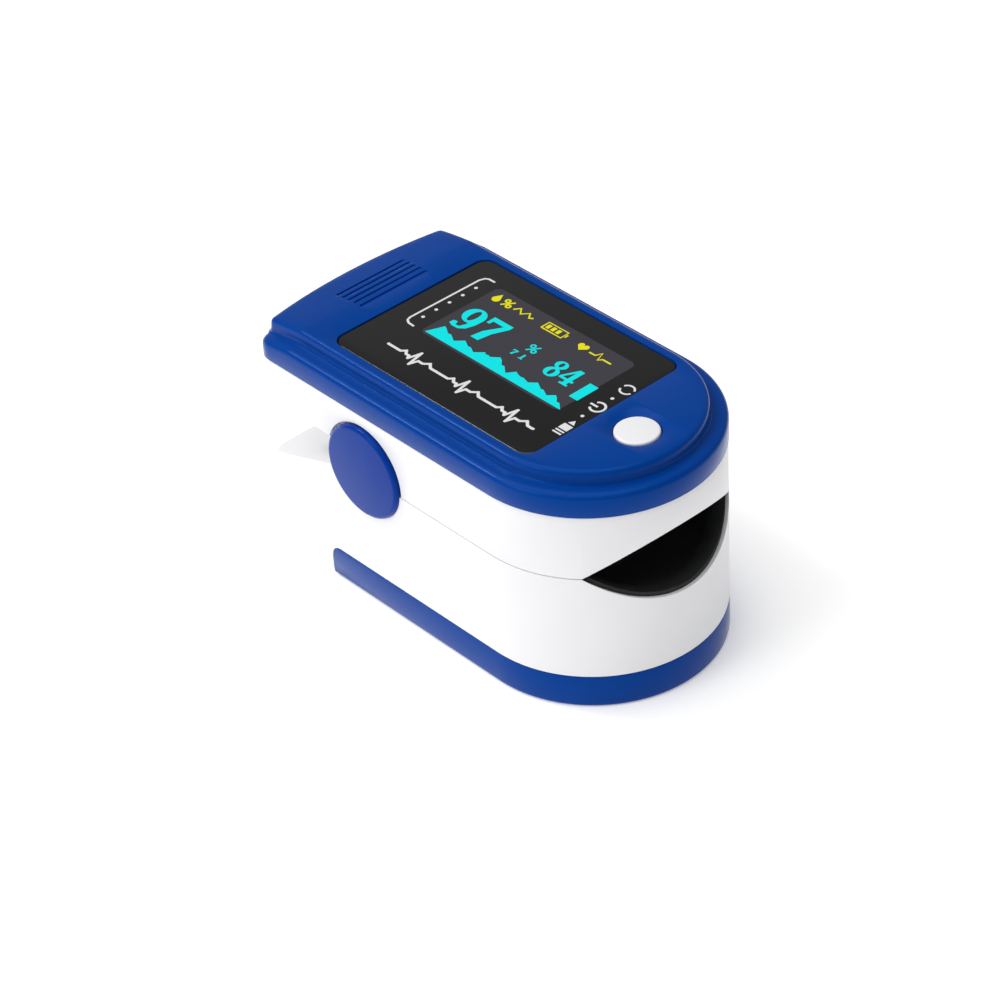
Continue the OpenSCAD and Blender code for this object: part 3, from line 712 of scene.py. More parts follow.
# Deep blue ABS, a little darker than the covers.
cap_abs = moulded("gloss blue ABS", "#04318a", "#053592", 0.2, gloss=0.2, tint="#6a9af0")
for node, side in (("hinge_cap_left", 1), ("hinge_cap_right", -1)):
    inner, outer = 16.0 * side, 16.9 * side
    cap = drum(node + "_moulding", "y", 6.35, *sorted((inner, outer)), (pin_x, pin_z), 128)
    round_edges(cap, lambda a, b: abs(a.y - outer) < 0.01 and abs(b.y - outer) < 0.01, 0.55, 5)
    carve(cap, drum("socket", "y", 1.5, *sorted((inner - side, side * 16.4)), (pin_x, pin_z), 48))
    ease(cap, 0.03, 1)
    finish(cap, "lower_half", "cap_blue", cap_abs, node)


# ---------------------------------------------------------------- torsion springs
# Two wound steel springs on the pin. One leg of each rests in the lower half
# and the other in the upper half, so that opening the clamp twists it; these are built in one shape and set
# on neither half.

# Oil-tempered spring wire: mid grey with a soft metallic gloss.
spring_steel = metal("spring steel wire", "#96989c", 0.28)
for node, side in (("torsion_spring_left", 1), ("torsion_spring_right", -1)):
    coil_r, turns, pitch = 2.35, 4.5, 1.05 * side
    leg = 3.4
    points = [(-leg, 5 * side, -coil_r), (-leg / 2, 5 * side, -coil_r)]
    points += [(coil_r * math.sin(a), 5 * side + pitch * a / (2 * math.pi), -coil_r * math.cos(a))
               for a in (math.radians(12 * k) for k in range(int(turns * 30) + 1))]
    points += [(-leg / 2, 5 * side + pitch * turns, coil_r), (-leg, 5 * side + pitch * turns, coil_r)]
    spring = wire(node + "_wire", [(pin_x + x, y, pin_z + z) for x, y, z in points], 0.35)
    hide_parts(node)
    spring.data.materials.append(spring_steel)
    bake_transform(spring)


# ---------------------------------------------------------------- flexible cable
# Thin amber polyimide ribbon with copper tracks, from the sensor board up to
# the main board. It flexes in front of the pin as the clamp opens; here it is built in one shape, bent up in
# front of the pin, and set on neither half.

def flexible_circuit(name, pitch):
    """Amber film over copper tracks that run along it, a set distance apart across its width."""
    material = blank(name)
    place = add(material, "ShaderNodeTexCoord").outputs["Object"]
    across = add(material, "ShaderNodeSeparateXYZ", {"Vector": place}).outputs["Y"]
    wave = add(material, "ShaderNodeMath", {0: across, 1: 2 * math.pi / (pitch * mm)},
               operation="MULTIPLY")
    lines = add(material, "ShaderNodeMath", {0: wave.outputs[0]}, operation="SINE")
    track = add(material, "ShaderNodeMapRange", {"Value": lines.outputs[0], "From Min": -0.2,
                                                 "From Max": 0.2})
    colour = add(material, "ShaderNodeMix",
                 {"Factor": track.outputs["Result"], 6: linear("#b9731c"), 7: linear("#d89a3c")},
                 data_type="RGBA")
    surface = add(material, "ShaderNodeBsdfPrincipled",
                  {"Base Color": colour.outputs[2], "Roughness": 0.28, "IOR": 1.7})
    add(material, "ShaderNodeOutputMaterial", {"Surface": surface.outputs["BSDF"]})
    return material


cable_low, cable_high = (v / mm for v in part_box("flex_cable"))
ribbon_z = board_low.z + 0.3
cable = block("flex_cable_ribbon", (board_low.x - 0.05, cable_low.y, ribbon_z - 0.1),
              (board_low.x, cable_high.y, ribbon_z + 0.1))
pick_faces(cable, lambda c, n: n.x < -0.9)
bend = Vector((cable_x + 1.2, 0, ribbon_z + 1.05))
bpy.ops.mesh.extrude_region_move(
    TRANSFORM_OT_translate={"value": ((bend.x - board_low.x + 0.05) * mm, 0, 0)})
bpy.ops.mesh.spin(steps=6, angle=math.radians(-90), center=(bend.x * mm, 0, bend.z * mm), axis=(0, 1, 0))
done()
lifts = 14
rise = (cable_high.z - bend.z) / lifts
pick_faces(cable, lambda c, n: n.z > 0.9 and c.z > bend.z - 0.05 and c.x < bend.x)
for lift in range(lifts):
    bpy.ops.mesh.extrude_region_move(TRANSFORM_OT_translate={"value": (0, 0, rise * mm)})
done()
smooth(cable)
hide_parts("flex_cable")
cable.data.materials.append(flexible_circuit("amber flexible circuit", 0.5))
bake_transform(cable)


# ---------------------------------------------------------------- upper shell
# White ABS moulding over the fingertip, with an arch for the nail through its
# front wall, lobes that run on the hinge pin, and an open bay for the board.

low, high = (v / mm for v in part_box("upper_shell"))
upper_z = parting_z + 0.15
rim_z = high.z
arch_rise = 4.9
arch_r = (12.1 ** 2 + arch_rise ** 2) / (2 * arch_rise)
arch_z = upper_z + arch_rise - arch_r
deck_z = upper_z + arch_rise + 0.8
main_low, main_high = (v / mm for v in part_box("main_board"))
button_low, button_high = (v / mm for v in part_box("power_button"))
button_x = (button_low.x + button_high.x) / 2
posts = [(x, side * (half_w - 7.3)) for x in (rear_x + 7, button_x - 4.4) for side in (-1, 1)]

shell = shell_block("upper_shell_moulding", half_w, front_x, rear_x, 2.5, upper_z - 6, rim_z)
carve(shell, side_prism("side", [
    (front_x + 1, upper_z), (pin_x, upper_z), (pin_x - 5.8, pin_z + 2.1),
    (rear_x + 7.9, pin_z + 2.3), (rear_x + 5.6, pin_z + 2.45), (rear_x + 4.1, pin_z + 2.75),
    (rear_x + 2.8, pin_z + 3.15), (rear_x + 1.7, pin_z + 3.7), (rear_x + 1, pin_z + 4.3),
    (rear_x + 0.45, pin_z + 5), (rear_x + 0.1, pin_z + 5.7), (rear_x, pin_z + 6.4),
    (rear_x, rim_z), (front_x + 1, rim_z),
], -20, 20), "INTERSECT")
for side in (-1, 1):
    inner, outer = sorted((side * 14.5, side * half_w))
    carve(shell, drum("lobe", "y", 5.5, inner, outer, (pin_x, pin_z), 96), "UNION")
bay = shell_block("bay", half_w - 1.8, front_x - 1.8, rear_x + 3.7, 0.4, deck_z, rim_z + 1)
for post in posts:
    carve(bay, drum("post", "z", 2, deck_z - 1, main_low.z, post, 48))
carve(shell, bay)
for post in posts:
    carve(shell, drum("bore", "z", 0.7, main_low.z - 3.2, main_low.z + 1.8, post, 24))
carve(shell, drum("arch", "x", arch_r, chamber_x, front_x + 1, (0, arch_z), sides=160))
carve(shell, block("sensor", (sensor_x - 2.4, -2.1, upper_z), (sensor_x + 2.4, 2.1, deck_z + 1)))
carve(shell, drum("pocket", "y", 4.6, -14.5, 14.5, (pin_x, pin_z)))
carve(shell, drum("bore", "y", 1.55, -half_w - 1, half_w + 1, (pin_x, pin_z), 48))
for side in (-1, 1):
    inner, outer = sorted((side * 15.7, side * 18))
    carve(shell, drum("cap", "y", 6.65, inner, outer, (pin_x, pin_z), 96))
carve(shell, block("slot", (cable_x - 0.4, -2.6, upper_z), (cable_x + 1.15, 2.6, deck_z + 1)))
ease(shell, 0.14)
finish(shell, "upper_half", "shell_white", white_abs, "upper_shell")


# ---------------------------------------------------------------- upper finger pad
# Black silicone liner under the arch, with the same low ribs and a round
# opening for the light.

pad_low, pad_high = (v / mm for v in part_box("upper_finger_pad"))
pad = drum("upper_finger_pad_moulding", "x", arch_r, pad_low.x, front_x - 1.8, (0, arch_z), sides=160)
carve(pad, drum("hollow", "x", arch_r - 1, pad_low.x + 1, front_x + 1, (0, arch_z), sides=160))
carve(pad, shell_block("room", half_w - 1.8, front_x - 1.8, pad_low.x - 3, 0.4, upper_z, deck_z),
      "INTERSECT")
carve(pad, drum("window", "z", 3, 5, 40, (sensor_x, 0)))
for rib_number in range(9):
    rib_x = pad_low.x + 3 + 2.6 * rib_number
    if abs(rib_x - sensor_x) > 4.2:
        rib = drum("rib", "x", arch_r - 0.9, rib_x - 0.35, rib_x + 0.35, (0, arch_z), sides=160)
        carve(rib, drum("hollow", "x", arch_r - 1.28, rib_x - 1, rib_x + 1, (0, arch_z), sides=160))
        carve(rib, shell_block("room", half_w - 5, front_x - 3, pad_low.x - 3, 0.4,
                               pad_high.z - 2.6, pad_high.z + 1), "INTERSECT")
        carve(pad, rib, "UNION")
ease(pad, 0.1)
finish(pad, "upper_half", "pad_silicone", silicone, "upper_finger_pad")


# ---------------------------------------------------------------- light source
# Two-chip light package on the underside of the main board, behind a clear
# round window in the arch.

# Clear polycarbonate: almost colourless, smooth and bright at its rim.
clear_window = clear_plastic("clear polycarbonate", "#f2f2f5", 0.06, 0.7)
window = drum("emitter_window_disc", "z", 3, *(v.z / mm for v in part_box("emitter_window")),
              (sensor_x, 0), 64)
round_edges(window, at_height(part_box("emitter_window")[0].z / mm), 0.2)
smooth(window)
finish(window, "upper_half", "window_clear", clear_window, "emitter_window")

# Light package: cream ceramic-filled epoxy, matte.
cream_epoxy = moulded("cream light package", "#e0d2a4", "#d6c796", 0.45, grain=0.2, depth=0.003)
package = bar("light_package", "emitter_led", 0.12)
pick_faces(package, lambda c, n: n.z < -0.95 and abs(c.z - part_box("emitter_led")[0].z / mm) < 0.02)
bpy.ops.mesh.inset(thickness=0.5 * mm, depth=0)
bpy.ops.mesh.inset(thickness=0.2 * mm, depth=-0.2 * mm)
done()
smooth(package)
finish(package, "upper_half", "led_ceramic", cream_epoxy, "emitter_led")


# ---------------------------------------------------------------- main board
# Green laminate in the shape of the bay, on four posts, with rows of small
# parts round the controller chip.

board = shell_block("main_board_laminate", main_high.y, main_high.x, main_low.x, 0.6,
                    main_low.z, main_high.z)
for post in posts:
    carve(board, drum("hole", "z", 0.85, main_low.z - 1, main_high.z + 1, post, 32))
ease(board, 0.06, 1)
finish(board, "upper_half", "board_green", solder_mask, "main_board")

# Ceramic chip parts: sandy brown bodies; their tinned ends are not drawn.
tan_ceramic = moulded("tan chip ceramic", "#8a6a48", "#7a5c3e", 0.5, grain=0.15, depth=0.003)
chip_parts = []
for row, y in ((0, -11), (1, 11)):
    for k in range(6):
        x = -16 + 4.6 * k + 1.2 * row
        part = block("part", (x - 0.6, y - 0.3, main_high.z), (x + 0.6, y + 0.3, main_high.z + 0.45))
        round_edges(part, lambda a, b: True, 0.06, 1)
        chip_parts.append(part)
chip_parts = join(chip_parts, "board_chip_parts")
smooth(chip_parts)
finish(chip_parts, "upper_half", "chip_black", tan_ceramic)

# Chip packages: black moulded epoxy, matte, with a dimple at pin one.
black_epoxy = moulded("black moulded epoxy", "#1b1b1d", "#212124", 0.55, grain=0.1, depth=0.003)
chip_low, chip_high = (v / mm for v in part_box("controller_chip"))
chip = block("controller_chip_package", (chip_low.x + 0.5, chip_low.y + 0.5, main_high.z + 0.08),
             chip_high - Vector((0.5, 0.5, 0)))
round_edges(chip, lambda a, b: True, 0.15, 2)
carve(chip, drum("dimple", "z", 0.35, chip_high.z - 0.12, chip_high.z + 1,
                 (chip_low.x + 1.3, chip_low.y + 1.3), 24))
smooth(chip)
finish(chip, "upper_half", "chip_black", black_epoxy, "controller_chip")

# Tinned leads: bright, along two sides of the chip.
tin = metal("tinned lead", "#d0d1d2", 0.3)
leads = []
for side in (-1, 1):
    edge = chip_high.y - 0.5 if side > 0 else chip_low.y + 0.5
    for k in range(8):
        x = chip_low.x + 1.2 + 0.66 * k
        inner, outer = sorted((edge - 0.1 * side, edge + 0.5 * side))
        lead = block("lead", (x - 0.13, inner, main_high.z), (x + 0.13, outer, main_high.z + 0.5))
        round_edges(lead, lambda a, b: abs(a.x - b.x) > 0.1 and a.z > main_high.z + 0.4, 0.12, 2)
        leads.append(lead)
leads = join(leads, "controller_chip_leads")
smooth(leads)
finish(leads, "upper_half", "switch_metal", tin)


# ---------------------------------------------------------------- buzzer
# Thin brass disc with the smaller white ceramic disc bonded on top, both drawn as one brass piece with a
# stepped middle.

# Rolled brass: warm yellow with fine rolling lines.
brass = metal("rolled brass", "#c89a48", 0.25, streak=(1, 6, 1))
buzzer_low, buzzer_high = (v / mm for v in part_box("buzzer"))
buzzer_place = ((buzzer_low.x + buzzer_high.x) / 2, 0)
buzzer = drum("buzzer_disc", "z", 4, buzzer_low.z, buzzer_high.z, buzzer_place, 96)
round_edges(buzzer, at_height(buzzer_high.z), 0.15, 2)
pick_faces(buzzer, lambda c, n: n.z > 0.9 and c.z > buzzer_high.z - 0.01)
bpy.ops.mesh.inset(thickness=1.1 * mm, depth=0)
bpy.ops.mesh.inset(thickness=0.1 * mm, depth=-0.25 * mm)
done()
smooth(buzzer)
finish(buzzer, "upper_half", "buzzer_brass", brass, "buzzer")


# ---------------------------------------------------------------- switch
# Stamped steel tactile switch under the power button, and the black plunger
# that moves with the button.

# Stamped steel: pale, with a fine drawn grain.
stamped = metal("stamped steel", "#c6c7cb", 0.3, streak=(6, 1, 1))
switch_low, switch_high = (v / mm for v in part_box("tact_switch"))
plunger_low, plunger_high = (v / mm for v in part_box("switch_plunger"))
switch = block("tact_switch_frame", switch_low, switch_high)
round_edges(switch, lambda a, b: abs(a.z - b.z) > 1, 0.5, 3)
round_edges(switch, at_height(switch_high.z), 0.2, 2)
carve(switch, drum("well", "z", 1.46, plunger_low.z - 0.7, 40, (button_x, 0), 48))
for corner_x in (-1, 1):
    for corner_y in (-1, 1):
        carve(switch, drum("rivet", "z", 0.35, switch_high.z - 0.1, switch_high.z + 1,
                           (button_x + 1.8 * corner_x, 1.8 * corner_y), 20))
ease(switch, 0.04, 1)
finish(switch, "upper_half", "switch_metal", stamped, "tact_switch")

# Nylon plunger: black, slightly glossy.
black_nylon = moulded("black nylon", "#262626", "#2c2c2c", 0.4)
plunger = drum("switch_plunger_rod", "z", (plunger_high.x - plunger_low.x) / 2,
               plunger_low.z, plunger_high.z, (button_x, 0), 48)
round_edges(plunger, lambda a, b: abs(a.z - b.z) < 0.01, 0.15, 2)
smooth(plunger)
finish(plunger, "button", "plunger_black", black_nylon, "switch_plunger")


# ---------------------------------------------------------------- board screws
# Four cross-head screws through the board into the shell's posts.

screws = [cross_screw("screw", post, main_high.z + 1, 0.7, (1.4, 1.0), low=main_low.z - 3.2)
          for post in posts]
screws = join(screws, "board_screw_set")
smooth(screws)
finish(screws, "upper_half", "screw_steel", zinc, "board_screws")


# ---------------------------------------------------------------- display
# Thin glass display on a backing frame, with a black foam gasket between it
# and the cover.

# Unlit display glass: near black, glossy, with a faint blue cast.
display_glass = moulded("dark display glass", "#20242a", "#23272e", 0.08, grain=4, depth=0.001, ior=1.52)
display_low, display_high = (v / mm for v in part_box("display_module"))
gasket_low, gasket_high = (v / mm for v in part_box("display_gasket"))
display = block("display_backing", display_low, (display_high.x, display_high.y, display_low.z + 1))
round_edges(display, lambda a, b: abs(a.z - b.z) > 0.5, 0.6, 3)
pick_faces(display, lambda c, n: n.z > 0.9)
bpy.ops.mesh.inset(thickness=1.8 * mm, depth=0)
bpy.ops.mesh.extrude_region_move(
    TRANSFORM_OT_translate={"value": (0, 0, (display_high.z - display_low.z - 1) * mm)})
done()
ease(display, 0.08, 2)
finish(display, "upper_half", "screen_glass", display_glass, "display_module")

# Closed-cell foam: black, very matte and slightly pitted.
foam = moulded("black foam", "#151515", "#1c1c1c", 0.9, grain=0.35, depth=0.05)
gasket = block("display_gasket_frame", gasket_low, gasket_high)
round_edges(gasket, lambda a, b: abs(a.z - b.z) > 0.3, 0.5, 3)
carve(gasket, block("hole", (display_low.x + 1.5, display_low.y + 1.5, gasket_low.z - 1),
                    (display_high.x - 1.5, display_high.y - 1.5, gasket_high.z + 1)))
ease(gasket, 0.1, 2)
finish(gasket, "upper_half", "gasket_foam", foam, "display_gasket")


# ---------------------------------------------------------------- top cover
# Blue ABS cover: a flange that stands out a hair past the white shell and a
# soft hollow up to a raised plateau. The rear end has a bowed edge and shallow
# grip grooves, and bends down.

top_low, top_high = (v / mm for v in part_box("top_cover"))
lens_low, lens_high = (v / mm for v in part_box("display_lens"))
lens_x = (lens_low.x + lens_high.x) / 2
flange_half = top_high.y
plateau_half = flange_half - 2.2
plateau_front = top_high.x - 2.2
bow_depth = 1.8
bow_r = (plateau_half ** 2 + bow_depth ** 2) / (2 * bow_depth)
flange_top = rim_z + 3.1
fall_length, fall_depth = 9.2, 1.4
crease_x = top_low.x + fall_length
fall_r = (fall_length ** 2 + fall_depth ** 2) / (2 * fall_depth)


def step_in(piece, steps):
    """Draws the open top face inwards and upwards by steps of (inset, rise) in mm."""
    for thickness, rise in steps:
        bpy.ops.mesh.inset(thickness=thickness * mm, depth=rise * mm, use_even_offset=True)
    done()


def slice_across(piece, axis, places):
    """Cuts new edges across the piece, square to an axis, at each place in mm."""
    only(piece)
    bpy.ops.object.mode_set(mode="EDIT")
    for place in places:
        at = Vector([place * mm if name == axis else 0 for name in "xyz"])
        bpy.ops.mesh.select_all(action="SELECT")
        bpy.ops.mesh.bisect(plane_co=at, plane_no=[float(name == axis) for name in "xyz"])
    done()


def fall(x):
    """How far the cover's rear end has bent down at x: fastest just behind the crease."""
    behind = max(crease_x - x, 0)
    round_fall = fall_r - math.sqrt(fall_r ** 2 - behind ** 2)
    straight_fall = fall_depth * max(behind - 0.9, 0) / (fall_length - 0.9)
    return (round_fall + straight_fall) / 2


def bend_down(piece, above):
    """Lowers the piece's rear end along the bend, above a height in mm."""
    slice_across(piece, "x", [crease_x - 0.3 * k for k in range(7)]
                 + [crease_x - 1.8 - 0.9 * k for k in range(1, 8)])
    for vertex in piece.data.vertices:
        if vertex.co.z > above * mm:
            vertex.co.z -= fall(vertex.co.x / mm) * mm


flange_rear = rear_x - 0.8
top = shell_block("top_cover_moulding", flange_half, top_high.x, flange_rear, 2.5, rim_z, flange_top - 0.75)
pick_faces(top, lambda c, n: n.z > 0.9)
step_in(top, [(0.05, 0.25), (0.12, 0.2), (0.2, 0.15), (0.3, 0.1), (0.5, 0.05)])
bend_down(top, rim_z + 0.5)
corner_x = top_low.x + bow_depth
plateau = shell_block("plateau", plateau_half + 0.5, plateau_front + 0.5, corner_x, 1.3,
                      rim_z + 1, flange_top - 0.1)
pick_faces(plateau, lambda c, n: n.z > 0.9)
step_in(plateau, [(0.25, 0.11), (0.15, 0.25), (0.06, 0.4), (0.04, 0.45), (0.06, 0.3),
                  (0.12, 0.2), (0.2, 0.12), (0.3, 0.07)])
slice_across(plateau, "y", [2 * k for k in range(-6, 7)])
for vertex in plateau.data.vertices:
    if vertex.co.x < (corner_x + 2.4) * mm:
        sideways = min(abs(vertex.co.y) / mm, plateau_half)
        vertex.co.x -= (bow_depth - bow_r + math.sqrt(bow_r ** 2 - sideways ** 2)) * mm
bend_down(plateau, rim_z + 1.5)
carve(top, plateau, "UNION")
lip = shell_block("lip", half_w - 1.9, front_x - 1.9, rear_x + 3.8, 0.4, rim_z - 1.1, rim_z + 1)
carve(top, lip, "UNION")
carve(top, shell_block("hollow", half_w - 2.9, front_x - 2.9, rear_x + 2.9, 0.4, rim_z - 2, rim_z + 1.5))
carve(top, shell_block("hollow", plateau_half - 1.6, plateau_front - 1.6, rear_x + 0.6, 0.4,
                       rim_z, lens_low.z - 1))
recess = block("recess", lens_low - Vector((0.1, 0.1, 0)), (lens_high.x + 0.1, lens_high.y + 0.1, 40))
round_edges(recess, lambda a, b: abs(a.z - b.z) > 1, 1.8, 8)
carve(top, recess)
carve(top, block("window", (display_low.x + 1.5, display_low.y + 1.5, rim_z),
                   (display_high.x - 1.5, display_high.y - 1.5, 40)))
carve(top, drum("hole", "z", 2.95, rim_z, 40, (button_x, 0), 96))
bpy.ops.object.select_all(action="DESELECT")
bpy.ops.mesh.primitive_cone_add(vertices=96, radius1=3.05 * mm, radius2=4.0 * mm, depth=0.6 * mm,
                                location=(button_x * mm, 0, (top_high.z - 0.05) * mm))
carve(top, settle("dish"))
for groove in range(5):
    start = crease_x - 4.3 + 1.1 * groove
    cut = block("groove", (start, -5.5, top_high.z - fall(start) - 0.16), (start + 0.5, 5.5, 40))
    round_edges(cut, lambda a, b: abs(a.z - b.z) > 1, 0.24, 4)
    carve(top, cut)
ease(top, 0.1, angle=42)
finish(top, "upper_half", "cover_blue", blue_abs, "top_cover")


# ---------------------------------------------------------------- display lens
# Moulded acrylic lens let into the plateau, printed dark grey on its back
# round a lighter window. White signs are printed beside the window.

def printed_lens(name, colour, shade):
    """Acrylic over dark print: deep grey below a hard clear gloss, with faint smears in the gloss."""
    material = blank(name)
    place = add(material, "ShaderNodeTexCoord").outputs["Object"]
    cloud = add(material, "ShaderNodeTexNoise",
                {"Vector": place, "Scale": per_mm(12), "Detail": 2.0})
    tint = add(material, "ShaderNodeMix",
               {"Factor": cloud.outputs["Fac"], 6: linear(colour), 7: linear(shade)}, data_type="RGBA")
    rough = add(material, "ShaderNodeMapRange",
                {"Value": cloud.outputs["Fac"], "To Min": 0.12, "To Max": 0.2})
    surface = add(material, "ShaderNodeBsdfPrincipled",
                  {"Base Color": tint.outputs[2], "Roughness": rough.outputs["Result"],
                   "IOR": 1.49})
    add(material, "ShaderNodeOutputMaterial", {"Surface": surface.outputs["BSDF"]})
    return material


# Acrylic printed charcoal on its back: smooth and glossy.
charcoal_lens = printed_lens("charcoal printed acrylic", "#111113", "#161618")
lens = block("display_lens_moulding", lens_low, lens_high)
round_edges(lens, lambda a, b: abs(a.z - b.z) > 0.5, 1.8, 10)
round_edges(lens, at_height(lens_high.z), 0.16, 3)
smooth(lens)
finish(lens, "upper_half", "lens_black", charcoal_lens, "display_lens")

# The window over the display: the same acrylic with only a thin grey tint.
smoked_window = printed_lens("smoked acrylic window", "#35343b", "#3b3a41")
face_z = lens_high.z
pane = block("display_window_pane", (display_low.x + 1.9, display_low.y + 1.85, face_z - 0.05),
             (display_high.x - 1.85, display_high.y - 1.85, face_z + 0.006))
round_edges(pane, lambda a, b: abs(a.z - b.z) > 0.03, 0.9, 6)
smooth(pane)
finish(pane, "upper_half", "lens_black", smoked_window)


# ---------------------------------------------------------------- printed signs and lit readout
# White ink on the lens: five dots and a bracket at the rear, small signs at
# the front and a pulse line along the near side. The readout is lit from
# below: cyan digits, a bar and a pulse wave, with yellow signs above them.

# The signs are laid out from a point on the lens's middle line.
signs_x = lens_x + 1.35


def strokes(name, lines, width, height):
    """Flat lines of ink along x, y points in mm, on the lens's face."""
    curve = bpy.data.curves.new(name, "CURVE")
    curve.dimensions = "3D"
    curve.bevel_depth = width / 2 * mm
    curve.bevel_resolution = 2
    curve.use_fill_caps = True
    for line in lines:
        run = curve.splines.new("POLY")
        run.points.add(len(line) - 1)
        for point, (x, y) in zip(run.points, line):
            point.co = (x * mm, y * mm, 0, 1)
    piece = bpy.data.objects.new(name, curve)
    bpy.context.scene.collection.objects.link(piece)
    only(piece)
    bpy.ops.object.convert(target="MESH")
    piece = bpy.context.object
    piece.scale = (1, 1, height / width)
    piece.location = (signs_x * mm, 0, (face_z + height / 4) * mm)
    return settle(name)


def filled(name, outlines, height):
    """Flat filled shapes from outlines of x, y points in mm, on the lens's face."""
    curve = bpy.data.curves.new(name, "CURVE")
    curve.dimensions = "2D"
    curve.fill_mode = "BOTH"
    curve.extrude = height / 2 * mm
    for outline in outlines:
        run = curve.splines.new("POLY")
        run.points.add(len(outline) - 1)
        run.use_cyclic_u = True
        for point, (x, y) in zip(run.points, outline):
            point.co = (x * mm, y * mm, 0, 1)
    piece = bpy.data.objects.new(name, curve)
    bpy.context.scene.collection.objects.link(piece)
    only(piece)
    bpy.ops.object.convert(target="MESH")
    piece = bpy.context.object
    piece.location = (signs_x * mm, 0, (face_z + height / 4) * mm)
    return settle(name)


def arc(x, y, radius, start, end, steps=16, tall=None):
    """Points round part of a circle or an oval, from one angle in degrees to another."""
    turn = [math.radians(start + (end - start) * k / steps) for k in range(steps + 1)]
    return [(x + radius * math.cos(a), y + (tall or radius) * math.sin(a)) for a in turn]


# Screen-printed ink: flat white, very slightly raised.
white_ink = moulded("white screen ink", "#e4e4e6", "#dadadd", 0.5, grain=0.1, depth=0.001)
signs = [
    strokes("bracket", [[(-13.6, 9.6), (-14.7, 9.6), (-15.15, 9.3), (-15.4, 8.6), (-15.5, -2.7),
                         (-15.3, -3.3), (-14.7, -3.65), (-13.7, -3.7)]], 0.33, 0.03),
    filled("dots", [arc(-14.4, y, 0.24, 0, 337.5, 15) for y in (7.15, 4.95, 2.75, 0.58, -1.58)]
           + [arc(14.7, y, 0.24, 0, 337.5, 15) for y in (2.3, -2.56)], 0.03),
    strokes("ring", [arc(14.7, 4.76, 0.9, 20, 160), arc(14.7, 4.76, 0.9, 200, 340)], 0.3, 0.03),
    strokes("power", [arc(14.7, -0.06, 0.95, -140, 140), [(13.5, -0.06), (14.7, -0.06)]], 0.34, 0.03),
    filled("cell", [[(14.2, -6.0), (15.6, -6.0), (15.6, -4.9), (14.2, -4.9)],
                    [(14.2, -6.5), (15.6, -6.5), (15.6, -6.25), (14.2, -6.25)],
                    [(14.2, -7.0), (15.6, -7.0), (15.6, -6.75), (14.2, -6.75)],
                    [(14.4, -4.6), (15.4, -4.6), (14.9, -3.8)]], 0.03),
]
pulse = [(0, 0), (2.2, 0), (2.7, 0.5), (3.2, 0), (3.7, 0), (4.0, -0.45), (4.5, 1.35), (5.0, -1.2),
         (5.4, 0), (6.2, 0), (6.9, 0.6), (7.6, 0), (8.5, 0)]
trace = [(-13.1, -8.3)] + [(-13.1 + 8.5 * beat + x, -8.3 + y) for beat in range(3)
                           for x, y in pulse[1:]]
signs.append(strokes("trace", list(zip(trace, trace[1:])), 0.42, 0.03))
signs.append(filled("trace_turns", [arc(x, y, 0.21, 0, 337.5, 15) for x, y in trace], 0.03))
signs = join(signs, "printed_signs")
finish(signs, "upper_half", "button_white", white_ink)


def lit(name, colour, strength):
    """Light from the display behind the window, a touch uneven as from separate picture cells."""
    material = blank(name)
    place = add(material, "ShaderNodeTexCoord").outputs["Object"]
    cells = add(material, "ShaderNodeTexNoise", {"Vector": place, "Scale": per_mm(0.5)})
    level = add(material, "ShaderNodeMapRange",
                {"Value": cells.outputs["Fac"], "To Min": strength * 0.94, "To Max": strength * 1.06})
    glow = add(material, "ShaderNodeEmission",
               {"Color": linear(colour), "Strength": level.outputs["Result"]})
    add(material, "ShaderNodeOutputMaterial", {"Surface": glow.outputs["Emission"]})
    return material


# Lit cyan and lit yellow picture elements.
lit_cyan = lit("lit cyan", "#19e4e6", 1.0)
lit_yellow = lit("lit yellow", "#e8e022", 1.0)


def digit(sign, x, y, width, height):
    """One digit with thick sides and thin tops as filled shapes in a box whose lower left corner is x, y."""
    shapes = {
        "9": [[arc(0.5, 0.67, 0.5, 0, 345, 23, 0.33), arc(0.49, 0.67, 0.17, 0, 330, 11, 0.25)],
              [[(0.68, 0.5), (1.0, 0.66), (0.98, 0.4), (0.86, 0.14), (0.62, 0.01), (0.3, 0),
                (0.08, 0.06), (0.1, 0.2), (0.3, 0.22), (0.36, 0.09), (0.55, 0.1), (0.66, 0.28)]]],
        "7": [[[(0, 1), (1, 1), (1, 0.86), (0.72, 0.42), (0.62, 0), (0.24, 0), (0.32, 0.36),
                (0.72, 0.84), (0.16, 0.84), (0.14, 0.7), (0, 0.7)]]],
        "8": [[arc(0.5, 0.77, 0.44, 0, 345, 23, 0.23), arc(0.5, 0.78, 0.15, 0, 330, 11, 0.15)],
              [arc(0.5, 0.28, 0.5, 0, 345, 23, 0.28), arc(0.5, 0.27, 0.17, 0, 330, 11, 0.19)]],
        "4": [[[(0.5, 1), (0.82, 1), (0.82, 0.36), (1, 0.36), (1, 0.25), (0.82, 0.25), (0.82, 0.09),
                (0.96, 0.09), (0.96, 0), (0.38, 0), (0.38, 0.09), (0.52, 0.09), (0.52, 0.25),
                (0, 0.25), (0, 0.36)], [(0.52, 0.36), (0.16, 0.36), (0.52, 0.8)]]],
        "1": [[[(0.35, 1), (0.7, 1), (0.7, 0.1), (0.95, 0.1), (0.95, 0), (0.1, 0), (0.1, 0.1),
                (0.35, 0.1)]]],
    }
    return [filled("digit", [[(x + width * a, y + height * b) for a, b in outline]
                             for outline in shape], 0.03) for shape in shapes[sign]]


def percent(x, y, size):
    """A percent sign as lines in a square whose lower left corner is x, y."""
    return [arc(x + 0.22 * size, y + 0.76 * size, 0.2 * size, 0, 360, 12),
            arc(x + 0.78 * size, y + 0.24 * size, 0.2 * size, 0, 360, 12),
            [(x + 0.1 * size, y), (x + 0.9 * size, y + size)]]


